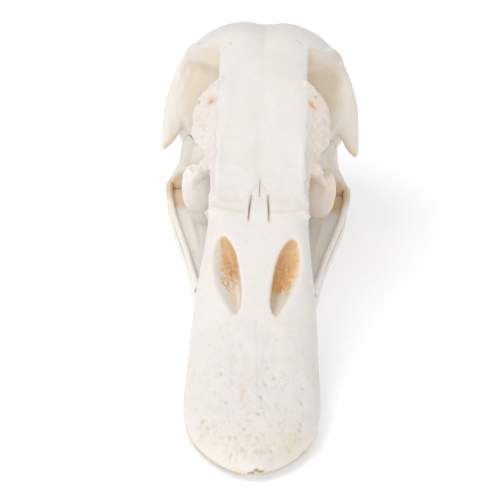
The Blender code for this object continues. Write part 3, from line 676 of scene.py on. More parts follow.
def hinge_slits():
    """Three spindle-shaped slits: one beside the strip on each side, across the hinge, and one behind it."""
    sides = both(bar(
        [(1.46, 3.7, 25.5), (1.6, 2.2, 24.85), (1.74, 0.9, 24.3), (1.84, -0.9, 23.55), (1.9, -2.6, 22.7)],
        [0.01, 0.06, 0.20, 0.10, 0.01],
        [0.15, 0.4, 0.62, 0.45, 0.10],
    ))
    middle = bar([(0, 7.1, 26.9), (0, 5.0, 26.0), (0, 2.8, 25.1)], [0.01, 0.06, 0.01], [0.12, 0.38, 0.12])
    return [*sides, middle]


def joined(name, objects):
    """One object that holds copies of all their skins."""
    forms = []
    for obj in objects:
        obj.data.calc_loop_triangles()
        faces = np.empty(len(obj.data.loop_triangles) * 3, np.int32)
        obj.data.loop_triangles.foreach_get("vertices", faces)
        forms.append((places(obj)[0], faces.reshape(-1, 3)))
        bpy.data.objects.remove(obj)
    return to_object(name, forms)


lacrimals = to_object("lacrimals", [f for form in lacrimal_forms for f in both(form)])
whole = melt(joined("whole", [head, bill, lacrimals]), 0.31, 2)
print("one skin:", len(whole.data.polygons), "faces")

# %% [markdown]
# ## Relief
# The forehead has a shallow dip on each side of its middle and raised margins. Above the hinge, where the
# bone flexes, a wrinkled band runs across. The crown has a groove and two small dents, and each wing an
# ear-shaped relief. The lacrimals are rough all over, with a small hole each.

# %% Relief of forehead, crown and lacrimals
hinge_ridge = [
    (-9.4, 1.8), (-8.2, 0.7), (-5.6, 0.1), (-3.4, -0.3), (-2.4, -0.2),
    (2.4, -0.2), (4.2, 0.1), (7.0, 0.9), (9.4, 0.9)]
ear_ridge = [
    (13.9, 39.4, 34.2), (15.2, 39.8, 33.2), (15.7, 39.2, 31.2), (15.1, 38.3, 29.6), (14.2, 37.8, 29.2)]
wing_rim = [
    (15.7, 39.4, 33.0), (16.4, 37.6, 29.5), (17.2, 35.8, 26.0), (17.9, 34.5, 22.2), (18.5, 33.7, 18.8)]
wing_groove = [(13.0, 38.6, 32.0), (14.6, 36.8, 28.4), (15.8, 35.0, 25.0), (16.8, 34.0, 21.6)]


def cranium_relief(p, n):
    top = ramp(n[:, 2], 0.3, 0.8)
    x, y = np.abs(p[:, 0]), p[:, 1]
    plate = top * span(y, 1.0, 4.0, 26, 32) * fade(x, 8.3, 9.0)
    height = 0.10 * plate * hump(x, 7.6, 0.8) * fade(y, 12, 18)
    height -= 0.12 * plate * hump(x, 4.9, 1.8)
    height -= 0.10 * top * hump(x, 0, 0.5) * ramp(y, 26, 40)
    wrinkle = hump(y, 2.8, 1.3) * ramp(x, 2.6, 3.6) * top * fade(x, 9.5, 10.5)
    height += 0.14 * wrinkle * grain(p * (1.0, 2.2, 1.0), 0.9, 5) - 0.10 * wrinkle
    height += (0.05 + 0.09 * grain(p, 0.8, 6)) * top * line(p, hinge_ridge, 0.34) * fade(x, 9.0, 9.6)
    height -= 0.20 * spot(p, (-6.4, 36.7, 39.5), (0.32, 0.5, 0.9))
    height -= 0.12 * stripe(p, (6.2, 38.3, 39.9), (7.4, 37.3, 39.3), 0.30)
    height += 0.26 * on_both(stripes, p, ear_ridge, 0.42)
    height -= 0.18 * on_both(spot, p, (14.9, 39.0, 31.6), (0.6, 0.8, 0.9))
    height += 0.22 * on_both(stripes, p, wing_rim, 0.55) - 0.20 * on_both(stripes, p, wing_groove, 0.7)
    height += 0.10 * ramp(x, 8.6, 10) * span(y, 31, 33, 44, 46) * grain(p * (1.3, 1, 0.6), 1.2, 15)
    height += (0.03 * grain(p, 1.1, 11) + 0.05 * grain(p, 3.1, 12)) * ramp(y, -1, 1)
    return height


def lacrimal_relief(p, n):
    x, y, z = np.abs(p[:, 0]), p[:, 1], p[:, 2]
    side = ramp(x, 8.2, 9.4) * span(y, 2, 6, 27, 29)
    upper = ramp(z, 22, 24.5) * side
    rough = 0.13 * grain(p * (1, 0.6, 1), 1.25, 31) + 0.12 * grain(p, 0.6, 32)
    height = upper * rough * ramp(x, 8.3, 9.4)
    at_edge = ramp(x - shelf_edge(y), -0.9, 0)
    height += 0.50 * upper * grain(p * (0.3, 1, 0.3), 0.9, 35) * at_edge
    height -= 0.6 * on_both(spot, p, (9.5, 23.2, 34.1), (0.5, 0.6, 1.4)) * ramp(n[:, 2], 0, 0.5)
    foot = side * fade(z, 20, 22)
    height += (0.05 * grain(p, 1.2, 33) + 0.03 * grain(p, 0.55, 34)) * foot
    return height


beside_middle, upwards = np.array([[4.9, 15.0, 31.0]]), np.array([[0.0, 0.0, 1.0]])
print("relief beside the forehead's middle:", cranium_relief(beside_middle, upwards).round(3), "mm")

# %% [markdown]
# The bill's pits are scattered with a seeded random draw that crowds them towards the tip, and the largest
# ones stand where they are on the real bill. A low ridge runs down the middle, vessel grooves fan out beside
# it, and the floor of each nostril is a spongy network.

# %% Relief of the bill
def scattered_pits(count, seed, front, reach, crowding, widest):
    """Random (x, y) places that reach back from the front, crowded towards it, and a radius for each."""
    draw = np.random.default_rng(seed)
    y = front + reach * (1 - draw.beta(crowding, 1.1, count))
    x = draw.uniform(-0.92, 0.92, count) * bill_width(y)
    return np.stack([x, y], 1), draw.uniform(0.14, widest, count)


small_pits, small_radius = scattered_pits(170, 7, -52.0, 28.0, 2.6, 0.34)
faint_pits, faint_radius = scattered_pits(130, 9, -46.0, 27.0, 1.2, 0.30)
large_pits = np.array([
    (-1.2, -45.5), (1.0, -41.7), (8.7, -37.2), (8.6, -42.0), (8.4, -43.3), (1.0, -47.3), (1.0, -50.1),
    (-1.5, -49.7), (3.4, -49.4), (1.9, -49.8), (-3.4, -50.3), (1.5, -37.4), (3.7, -32.5), (2.3, -34.1),
    (-5.7, -31.8), (-4.6, -38.9), (-7.6, -44.1), (-8.7, -42.1), (-2.7, -47.3), (-3.7, -47.2),
])
large_radius = np.random.default_rng(8).uniform(0.24, 0.40, len(large_pits))


def spongy(p):
    """How far a place lies in the spongy floor of either nostril."""
    return ramp(on_both(spot, p, (4.9, -9.8, 15.4), (2.0, 3.6, 3.0)), 0.25, 0.65)


def sponge_holes(p):
    """The gaps of the network: where a noise of 0.8 mm grains is low."""
    return ramp(-grain(p, 0.85, 21), 0.05, 0.40) * spongy(p)


vessels = [
    ([(0.5, -20.7), (0.9, -36.2), (1.8, -38.1)], 0.36, 0.10),
    ([(1.85, -26.3), (1.3, -32.0), (2.4, -34.6)], 0.30, 0.08),
    ([(3.85, -25.2), (3.65, -32.5)], 0.50, 0.09),
    ([(1.0, -34.2), (2.1, -38.3), (3.6, -40.6)], 0.45, 0.06),
    ([(-3.2, -27.0), (-3.6, -35.0), (-6.0, -41.0)], 0.40, 0.05),
]


def bill_relief(p, n):
    y = p[:, 1]
    out = ramp(n[:, 2], 0.2, 0.6) * fade(y, -4, -1) * (p[:, 2] > bill_edge(y) + 0.4)
    height = 0.10 * out * hump(p[:, 0], 0, 1.2) * span(-y, 18, 24, 34, 42)
    height -= 0.22 * out * hump(p[:, 0], 3.0, 1.4) * span(-y, 19, 24, 32, 40)
    height -= 0.07 * out * hump(p[:, 0], -3.0, 1.3) * span(-y, 20, 26, 30, 38)
    fan = np.sin(p[:, 0] * 2.1 + 1.6 * grain(p, 5.0, 3)) * span(-y, 22, 28, 40, 45)
    height += 0.030 * out * fan
    for path, radius, depth in vessels:
        height -= depth * out * line(p, path, radius)
    height -= 0.09 * out * pits(p, small_pits, small_radius) + 0.06 * out * pits(p, faint_pits, faint_radius)
    height -= 0.22 * out * pits(p, large_pits, large_radius)
    height -= 0.35 * spot(p, (1.0, -52.5, 2.0), (0.8, 0.7, 0.6))
    height += spongy(p) * 0.10 * grain(p, 0.42, 22) - 0.22 * sponge_holes(p)
    height += (0.022 * grain(p, 1.0, 13) + 0.05 * grain(p, 3.3, 14)) * fade(y, -1, 1)
    return height


def relief(p, n):
    """The relief of the one skin, each bone's part of it fading out where another bone begins."""
    return cranium_relief(p, n) * ramp(p[:, 1], -1, 0.5) + lacrimal_relief(p, n) + bill_relief(p, n)


print(len(small_pits) + len(faint_pits) + len(large_pits), "pits on the bill")

# %% [markdown]
# Each copy is pressed with the relief while it still runs past its seams, so the relief carries straight on
# from bone to bone. The curtains then trim it, and whatever scrap they leave is dropped.

# %% Parting the three bones
cranium = twice(whole, "cranium_bone")
upper_bill = carve(twice(whole, "upper_bill_bone"), [hinge_block(False, 7.5)])
melt(upper_bill, 0.235, 1)
lacrimal = carve(whole, [lacrimal_block(1.0)], "INTERSECT")
lacrimal.name = "lacrimal_bone"
melt(lacrimal, 0.21, 1)
for bone in (cranium, upper_bill, lacrimal):
    press(bone, relief)
for bone in (cranium, upper_bill):
    carve(bone, hinge_slits())

carve(cranium, [hinge_block(True, HAIRLINE), strip_block(HAIRLINE)])
carve(cranium, both(lacrimal_block(HAIRLINE)))
behind = carve(to_object("behind", [hinge_block(False, 0)]), [strip_block(0)])
carve(upper_bill, [behind])
carve(lacrimal, [lacrimal_block(0)], "INTERSECT")
for bone in (cranium, upper_bill, lacrimal):
    largest(bone)
    print(bone.name, len(bone.data.polygons), "faces")

# %% [markdown]
# ## Jaw joint and cheek
# The quadrate hangs from the braincase and carries the lower jaw on two rounded knobs. A cup on its outer
# side holds the cheek bar, a slender rod that runs forward to the corner of the bill.

# %% Quadrate and cheek bar
quadrate_forms = [
    blob((13.5, 34.9, 14.4), (1.9, 2.2, 3.2)),
    bar([(13.6, 35.2, 14.0), (13.6, 36.5, 17.5), (13.3, 38.0, 20.8), (13.0, 39.0, 22.0)],
        [1.7, 1.4, 1.5, 1.2], [1.7, 1.5, 1.6, 1.2]),
    bar([(13.0, 34.8, 15.0), (11.4, 32.4, 16.8), (9.8, 30.2, 18.4), (9.2, 29.4, 19.2)],
        [1.5, 1.1, 0.9, 0.5], [2.2, 2.3, 2.2, 1.2]),
    blob((12.5, 34.0, 18.2), (2.3, 1.1, 3.0), (-12, 0, 0)),
    blob((14.4, 32.9, 12.6), (2.4, 1.0, 2.0), (0, 30, 0)),
    blob((12.3, 33.4, 10.9), (1.7, 2.0, 1.5)),
    blob((15.2, 32.8, 11.2), (2.0, 2.4, 1.6)),
    bar([(13.4, 35.2, 16.6), (14.5, 34.0, 14.4), (15.8, 32.4, 12.7), (16.7, 31.0, 11.6)],
        [0.9, 0.9, 0.9, 0.8], [1.1, 1.1, 1.0, 0.9]),
]
quadrate = apart(melt(to_object("quadrate_bone", quadrate_forms), 0.24, 3), [cranium], 0.15)
press(quadrate, lambda p, n: 0.06 * grain(p, 1.2, 41))

jugal_form = bar(
    [(10.2, -6.4, 9.6), (11.6, 0, 10.1), (12.8, 6.5, 10.3), (14.9, 16, 10.6), (16.4, 24, 10.8),
     (17.0, 29.2, 11.1), (17.05, 31.2, 11.6)],
    [0.75, 0.6, 0.58, 0.58, 0.62, 0.7, 0.7], [1.1, 1.0, 0.95, 0.95, 1.0, 1.1, 1.1], 160, 30)
jugal = apart(melt(to_object("jugal_bone", [jugal_form]), 0.2, 2), [upper_bill, quadrate, lacrimal], 0.12)
press(jugal, lambda p, n: 0.04 * grain(p, 1.5, 42))
print("quadrate and cheek bar:", len(quadrate.data.polygons), len(jugal.data.polygons), "faces")

# %% [markdown]
# ## The lower jaw
# Two deep bars meet in a flat scoop that hides inside the tip of the bill. Behind, each bar broadens below
# the cheek bar and carries the shelf of the joint. The skull's weight rests on its lower edge, so all that
# would reach below the floor is pressed flat against it.

# %% Mandible
ramus = bar(
    [(3.4, -47.4, 1.1), (5.9, -44.8, 1.15), (7.8, -41, 1.25), (9.0, -36, 1.5), (9.5, -30, 2.0),
     (9.3, -22, 2.6), (8.7, -14, 3.4), (8.7, -7, 4.1), (9.5, 0, 4.7), (10.65, 7, 5.1), (11.75, 14, 5.4),
     (12.6, 20, 5.4),
     (13.4, 26, 4.9), (14.0, 31, 4.2), (13.9, 35, 4.2), (13.2, 40, 5.9), (12.8, 44, 8.6), (12.5, 46.2, 11.0)],
    [1.4, 1.3, 1.1, 1.0, 0.95, 0.95, 1.0, 1.15, 1.3, 1.4, 1.6, 1.7, 1.7, 1.8, 1.8, 1.2, 0.8, 0.4],
    [1.1, 1.15, 1.25, 1.5, 2.0, 2.7, 3.5, 4.3, 4.9, 5.2, 5.4, 5.3, 4.8, 4.1, 3.9, 3.1, 2.4, 1.1], 220, 44)


def jaw_shelf():
    """The shelf between the jaw bar and the cheek bar: squared ovals, 2.8 mm high, that widen backwards."""
    stations = [-5.0, -2, 2, 6.5, 12, 17, 21, 25, 28, 31, 34]
    y = np.linspace(-5, 34, 120)[:, None]
    inner = smooth_curve(stations, [9.4, 9.0, 8.8, 8.7, 8.7, 8.8, 9.3, 10.4, 11.5, 12.2, 12.8])(y)
    outer = smooth_curve(stations, [11.1, 12.0, 12.6, 13.6, 14.9, 16.0, 16.7, 17.1, 17.2, 17.0, 16.6])(y)
    top = smooth_curve(stations, [7.8, 9.2, 9.9, 10.2, 10.4, 10.5, 10.5, 10.4, 10.6, 10.9, 10.9])(y)
    angle = circle(60)[None, :]
    x = (inner + outer) / 2 + (outer - inner) / 2 * bulge(np.cos(angle), 0.6)
    return ringed(x, y, top - 1.4 + 1.4 * bulge(np.sin(angle), 0.6))


mandible_forms = [*both(ramus), *both(jaw_shelf()), blob((0, -44.4, 1.2), (6.6, 4.4, 1.2))]
for centre, radii, turn in (
    ((14.1, 32.2, 7.2), (2.9, 4.0, 2.5), (0, 0, 0)),
    ((10.4, 33.4, 6.6), (3.0, 1.6, 1.5), (0, 16, 0)),
):
    mandible_forms += both(blob(centre, radii, turn))
mandible = melt(to_object("mandible_bone", mandible_forms), 0.30, 3)


def mandible_relief(p, n):
    side = ramp(np.abs(n[:, 0]), 0.3, 0.7)
    height = 0.05 * grain(p * (1, 0.35, 1), 1.6, 51) + 0.03 * grain(p, 0.9, 52)
    outer_groove = [(11.0, -24, 3.4), (10.4, -8, 5.4), (12.4, 6, 6.2), (14.2, 16, 5.4)]
    shelf_groove = [(13.3, 14, 9.6), (12.6, 8, 9.2), (11.8, 3, 8.8)]
    height -= 0.16 * side * on_both(stripes, p, outer_groove, 0.6)
    height -= 0.20 * on_both(stripes, p, shelf_groove, 0.4)
    return height * ramp(p[:, 2], 0.4, 1.4)


press(mandible, mandible_relief)
points, _ = places(mandible)
points[:, 2] = points[:, 2].clip(0.0)
put(mandible.data, points)
others = [mirrored(obj, obj.name + "_mirror") for obj in (quadrate, jugal)]
apart(mandible, [upper_bill, quadrate, jugal, *others], 0.06)
for other in others:
    bpy.data.objects.remove(other)
print("mandible:", len(mandible.data.polygons), "faces")

# %% [markdown]
# ## The palate
# Under the skull a flat bar runs back from the bill on each side of the rod, and a short strut leads from
# each bar to the quadrate. They are seen only from below and through the gaps at the cheeks.

# %% Palatine and pterygoid
palatine = melt(to_object("palatine_bone", [bar(
    [(4.6, -15, 8.3), (4.9, -7, 9.6), (5.2, 2, 10.4), (5.2, 10, 10.8), (4.2, 17, 11.2), (3.2, 22.5, 11.3)],
    [1.3, 1.0, 1.1, 2.1, 2.2, 1.2], [0.9, 0.6, 0.6, 0.8, 1.0, 1.0])]), 0.24, 2)
apart(palatine, [upper_bill, cranium], 0.15)
pterygoid = melt(to_object("pterygoid_bone", [bar(
    [(3.3, 22.0, 11.2), (5.4, 25.8, 11.3), (8.6, 30.0, 11.5), (12.2, 33.6, 12.2)],
    [1.2, 0.9, 0.9, 1.2], [1.1, 1.3, 1.1, 1.1])]), 0.24, 2)
apart(pterygoid, [palatine, quadrate, cranium, mandible], 0.15)
for obj, seed in ((palatine, 61), (pterygoid, 62)):
    press(obj, lambda p, n: 0.05 * grain(p, 1.3, seed))
print("palate:", len(palatine.data.polygons), len(pterygoid.data.polygons), "faces")

# %% [markdown]
# ## Stains and painted shade
# What dries on a skull colours it: ochre under the roof of the orbit and along thin edges, amber in the
# nostrils and in the pit of the cheek, and a pink blush on the lacrimals. Painted shade lies in hollows and
# on the side at +X, away from the lamp. Each is a mask between 0 and 1 per vertex, a sum of the soft spots
# and stripes from above. Here right means the right of the picture, +X.

# %% Stains and painted shade of the head
def bone_paint(obj, **masks):
    """Stores each mask, a value per vertex between 0 and 1, for the finish to read."""
    for name in ("ochre", "amber", "blush", "dark", "sponge"):
        values = np.clip(masks.get(name, np.zeros(len(obj.data.vertices))), 0, 1)
        layer = obj.data.attributes.get(name) or obj.data.attributes.new(name, "FLOAT", "POINT")
        layer.data.foreach_set("value", values.astype(np.float32))


def hinge_stain(p, n):
    """The wavy yellow band over the hinge, and the brown that lines its three slits."""
    top = ramp(n[:, 2], 0.2, 0.6)
    x = np.abs(p[:, 0])
    band = hump(p[:, 1], 1.8, 2.0) * ramp(x, 2.2, 3.4) * (0.22 + 0.18 * grain(p, 1.4, 71))
    yellow = top * (band + 0.35 * line(p, hinge_ridge, 0.4) * ramp(x, 2.2, 3.0))
    brown = 0.5 * top * line(p, [(0, 6.8), (0, 3.0)], 0.12)
    brown += 0.7 * top * on_both(line, p, [(1.5, 3.2), (1.74, 0.6), (1.86, -1.8)], 0.22)
    return yellow, brown


def cranium_masks(obj):
    p, n = places(obj)
    x, y, z = np.abs(p[:, 0]), p[:, 1], p[:, 2]
    aside = x / case_width(y).clip(1)
    above = (z - case_middle(y)).clip(0) / (crown_line(y) - case_middle(y)).clip(1)
    level = aside**2.33 + above**2.33
    within = ramp(1 - level, 0.05, 0.30) * span(y, 26, 30, 44, 47)
    under = ramp(crown_line(y) - z, 3.0, 6.0) * fade(y, 28, 34)
    wing = ramp(x, 11.5, 14) * fade(z, 30, 36) * ramp(-n[:, 1], -0.2, 0.4)
    edge = on_both(stripes, p, [(18.7, 33.2, 17.6), (16.8, 32.9, 20.2), (14.6, 32.8, 22.8)], 0.6)
    yellow, brown = hinge_stain(p, n)
    streak = 0.30 * line(p, [(-1.0, 14.2), (-0.75, 7.4)], 0.6)
    streaks = 0.25 * np.maximum(within, wing) * ramp(grain(p * (1.6, 1, 0.35), 1.6, 82), 0.1, 0.8)
    groove = on_both(stripes, p, wing_groove, 0.9) * (0.5 + 0.5 * grain(p, 1.4, 84))
    ochre = 0.45 * np.maximum(within, under) + 0.20 * wing + 0.7 * edge + streak + yellow + streaks
    ochre += 0.4 * groove
    ochre = ochre * (1 - 0.7 * on_both(stripes, p, wing_rim, 0.6))
    # The ochre inside the orbit and on the wing is heavier at +X: that extra is painted shade, on the side
    # away from the lamp.
    ochre += (0.14 + 0.22 * ramp(p[:, 0], 8, 11)) * np.maximum(within, 0.5 * wing)
    amber = brown + 0.25 * edge + 0.25 * groove * ramp(grain(p, 0.9, 85), 0, 0.6)
    amber += 0.2 * on_both(stripes, p, ear_ridge, 0.5)
    # Painted shade: an amber stripe down the inner side of the orbit, at +X only.
    amber += 0.30 * on_both(stripes, p, [(9.3, 37.0, 33.4), (9.6, 33.0, 27.0)], 0.9) * ramp(p[:, 0], 0, 6)
    # Beside the brown of the slits, the two small dents in the crown are darkened: painted shade in the
    # dents.
    dark = 0.4 * brown + 0.30 * spot(p, (-6.4, 36.7, 39.5), (0.3, 0.4, 0.9))
    dark += 0.12 * stripe(p, (6.2, 38.3, 39.9), (7.4, 37.3, 39.3), 0.35)
    # Painted shade: the orbit's rear wall, facing forward under the roof, is darkened, more at +X, and tinted
    # ochre and pink with it.
    wall = ramp(-n[:, 1], 0.1, 0.5) * span(y, 30, 32, 41, 43) * span(x, 8.0, 8.6, 13.5, 16.5)
    wall *= ramp(z, 24, 29)
    dark += (0.17 + 0.07 * ramp(p[:, 0], 8, 10)) * wall * (0.8 + 0.3 * grain(p, 1.8, 90))
    ochre += 0.15 * wall
    margin = ramp(x, 6.8, 8.4) * span(y, 6, 12, 24, 28) * ramp(crown_line(y) - z, 3, 1)
    blush = 0.3 * ramp(grain(p, 6.0, 72), 0.1, 0.8) + 0.45 * margin + 0.5 * wall
    bone_paint(obj, ochre=ochre, amber=amber, dark=dark, blush=blush)


over_hinge = np.array([[5.0, 1.8, 24.5]])
print("yellow and brown over the hinge:", [mask.round(2) for mask in hinge_stain(over_hinge, upwards)])

# %% [markdown]
# The lacrimals are the pinkest bones, more so away from the seam. The one at +X is painted pinker and
# browner:
# painted shade, as it is turned from the lamp. Each has an amber hole and a dark dot on its head, not quite
# at the same place on the two sides.

# %% Stains and painted shade of the lacrimals
def lacrimal_masks(obj, hole_at, dot_at):
    p, _ = places(obj)
    upper = ramp(p[:, 2], 22, 26)
    from_seam = ramp(np.abs(p[:, 0]), 8.0, 10.0)
    # Painted shade: toward +X the lacrimal gets more blush, ochre and amber, and toward −X its head is a
    # little darker.
    right = ramp(p[:, 0], 0, 3)
    blush = 0.10 + 0.5 * right + upper * (0.40 + 0.45 * from_seam + 0.35 * grain(p, 1.3, 77) * from_seam)
    hole = spot(p, hole_at, (0.75, 0.8, 1.6)) * upper
    dot = spot(p, dot_at, (0.28, 0.34, 1.4)) * upper
    # Painted shadow: a dark amber line where the neck meets the foot, in place of a slot that the shape does
    # not have.
    slot = on_both(stripe, p, (12.8, 18.2, 22.2), (11.6, 17.4, 20.6), 0.32)
    amber = hole + 0.22 * upper * from_seam * ramp(grain(p, 0.9, 78), 0.2, 0.9) + 0.5 * slot
    amber += right * (0.26 - 0.14 * upper) * (0.7 + 0.5 * grain(p, 1.5, 89))
    ochre = 0.05 * (1 - upper) + 0.20 * right + 0.25 * from_seam * ramp(grain(p, 2.0, 79), 0, 1) * upper
    dark = 0.55 * dot + 0.3 * slot + 0.05 * upper * (1 - right)
    bone_paint(obj, ochre=ochre, amber=amber, dark=dark, blush=blush)


print("vertices of a lacrimal to stain:", len(lacrimal.data.vertices))

# %% [markdown]
# The bill is pale and plain. Its stains keep to the tip's rim, the pits, and the nostrils, where dried tissue
# left an orange network: deep orange at the rear inner side, paler outwards and to the front. Painted shade
# darkens the deep parts of the nostrils, the pits, and the underside of the rim at the tip.

# %% Stains and painted shade of the bill
def bill_masks(obj):
    p, n = places(obj)
    x, y, z = np.abs(p[:, 0]), p[:, 1], p[:, 2]
    share = (x - nostril_inner(y)) / (nostril_outer(y) - nostril_inner(y))
    sunk = bill_top(x.clip(0, 0.98 * bill_width(y)), y) - z
    inside = ramp(sunk, 0.1, 0.7) * span(y, -20.2, -19, -4.8, -4.2) * ramp(share, -0.25, 0.0)
    inside *= fade(share, 0.9, 1.1) * (z > bill_edge(y) + 1.5)
    right = ramp(p[:, 0], 0, 3)
    rear, low = ramp(y, -10.5, -7.5), fade(y, -13.5, -11.0)
    deep = fade(share, 0.30 + 0.25 * right, 0.60 + 0.30 * right)
    spots = 1.0 + 0.45 * grain(p, 1.0, 86)
    between = (1 - rear - low).clip(0)
    amber = inside * spots * (rear * deep + between * (0.2 + 0.7 * right * deep) + 0.18 * low * deep)
    amber += 0.25 * inside * rear * ramp(grain(p, 0.7, 88), 0.1, 0.5)
    # Painted shade: the outer rear of the nostril at −X, used only to darken it.
    shaded_rear = inside * rear * (1 - deep) * (1 - right)
    amber += 0.5 * inside * right * spot(p, (5.6, -14.0, 14.1), (0.5, 0.7, 1.5))
    sponge = inside * np.where(p[:, 0] > 0, spongy(p), ramp(spongy(p) + 0.25 * grain(p, 1.2, 87), 0.35, 0.6))
    sponge = sponge.clip(0, 1) * (0.8 + 0.2 * right)
    rim = hump(z, bill_edge(y), 0.7) * ramp(-y, 36, 43) * ramp(n[:, 2], -0.9, 0.1)
    below = bill_edge(y) - z
    # Under the rim near the tip a band is painted amber and dark: a brown stain and painted shade under the
    # edge.
    under_rim_stain_and_shade = span(below, -0.05, 0.25, 0.9, 1.3) * ramp(-y, 34, 42)
    amber += 0.30 * rim * ramp(grain(p, 2.4, 74), -0.6, 0.5) + 0.55 * under_rim_stain_and_shade
    amber += 0.30 * line(p, [(-1.9, -34.8), (-1.9, -38.5)], 0.32)
    tip = ramp(-y, 43, 50) * ramp(n[:, 2], 0.1, 0.5)
    outside = (z > bill_edge(y) + 0.6) * ramp(n[:, 2], 0.2, 0.6)
    hole = outside * pits(p, small_pits, small_radius * 0.9)
    faint = outside * pits(p, faint_pits, faint_radius * 0.9)
    main = outside * pits(p, large_pits, large_radius * 0.85)
    dash = outside * span(-y, 20, 26, 40, 46) * ramp(grain(p * (1.6, 0.5, 0), 1.3, 83), 0.35, 0.8)
    yellow, brown = hinge_stain(p, n)
    ochre = 0.20 * tip + 0.35 * rim + 0.12 * ramp(grain(p, 4.0, 75), 0.2, 0.9) + 0.25 * inside
    ochre += 0.40 * hole + 0.6 * main + yellow
    ochre += 0.45 * outside * ramp(grain(p, 2.2, 91), -0.2, 0.6) * ramp(x, 3.5, 7) * ramp(-y, 42, 46)
    ochre += 0.10 * dash + 0.3 * outside * line(p, [(3.85, -25.2), (3.65, -32.5)], 0.55)
    notch = [
        ((0.2, -52.6, 1.7), (0.8, 0.6, 0.35)),
        ((1.0, -52.4, 2.2), (0.55, 0.6, 0.5)),
        ((1.8, -52.3, 1.9), (0.8, 0.6, 0.3)),
    ]
    chip = ramp(np.max([spot(p, *place) for place in notch], axis=0), 0.35, 0.65)
    socket = on_both(spot, p, (10.9, -5.9, 9.9), (0.8, 0.6, 0.5))
    # The pits are tinted ochre and also darkened: the darkening is painted shade in each pit.
    dark = 0.09 * hole + 0.10 * faint + 0.22 * main + 0.02 * dash + 0.7 * chip + 0.60 * under_rim_stain_and_shade
    dark += 0.4 * brown + 0.1 * socket
    # Painted shade in the nostrils: the deep inner side is darkened at the rear of both and at the front of
    # the one at +X, and the outer rear of the one at −X a little.
    dark += 0.10 * inside * low * deep * right + 0.12 * inside * rear * deep + 0.10 * shaded_rear
    blush = 0.25 * ramp(grain(p, 5.0, 76), 0.0, 0.8)
    bone_paint(obj, ochre=ochre, amber=amber + brown + 0.6 * chip, dark=dark, blush=blush, sponge=sponge)


print("share of sponge in the middle of a nostril:", spongy(np.array([[4.9, -9.8, 15.4]])).round(2))

# %% [markdown]
# The hollow in front of the jaw joint holds the strongest stain of the cheek, amber with an ochre fringe, and
# the side at +X is painted browner and a little darker: painted shade, away from the lamp. All the masks are
# then laid on, bone by bone.

# %% Stains and painted shade of the cheeks and the palate
def cheek_masks(obj):
    p, _ = places(obj)
    y, z = p[:, 1], p[:, 2]
    pit = ramp(on_both(spot, p, (14.8, 29.0, 10.4), (3.8, 5.2, 3.4)), 0.20, 0.65)
    right = ramp(p[:, 0], 6, 10)
    streaks = ramp(grain(p * (1, 0.4, 1), 1.5, 81), -0.2, 0.8)
    # Painted shade: toward +X the bone gets more ochre and amber and a little dark, for the side turned from
    # the lamp.
    ochre = 0.04 + 0.14 * streaks + right * (0.10 + 0.25 * ramp(y, 4, 20) * fade(z, 9, 13))
    ochre += 0.60 * pit * (1 - right)
    amber = pit * (0.50 + 0.20 * right - 0.15 * grain(p, 2.0, 80))
    amber += 0.6 * on_both(spot, p, (11.7, 7.6, 9.4), (0.35, 1.1, 0.8))
    bone_paint(obj, ochre=ochre, amber=amber, dark=0.05 * pit * right, blush=np.full(len(p), 0.2))


cranium_masks(cranium)
bill_masks(upper_bill)
lacrimal_masks(lacrimal, (9.4, 22.9, 34.0), (9.9, 24.8, 34.8))
behind_the_bill = (quadrate, jugal, mandible, palatine, pterygoid)
for obj in behind_the_bill:
    cheek_masks(obj)
print("stains laid on", 3 + len(behind_the_bill), "bones")

# %% [markdown]
# ## Finish
# Dry bone is a soft, cream-white, slightly translucent material with fine pores. The colour starts from the
# bone's own shade, is broken up by large and small noise, and takes each stain and the painted shade where
# its mask says. The shader maths is written as Python sums on sockets, which keeps the recipe readable.

# %% Shader sums
class Value:
    """A socket in a node tree; sums and products of values add Math nodes."""

    def __init__(self, recipe, socket):
        self.recipe, self.socket = recipe, socket

    def math(self, operation, *others):
        sockets = dict(enumerate((self, *others)))
        return self.recipe.node("ShaderNodeMath", {"operation": operation}, sockets)

    def __add__(self, other):
        return self.math("ADD", other)

    def __mul__(self, other):
        return self.math("MULTIPLY", other)

    def __sub__(self, other):
        return self.math("SUBTRACT", other)

    def __rsub__(self, other):
        return self.recipe.node("ShaderNodeMath", {"operation": "SUBTRACT"}, {0: other, 1: self})

    __radd__, __rmul__ = __add__, __mul__


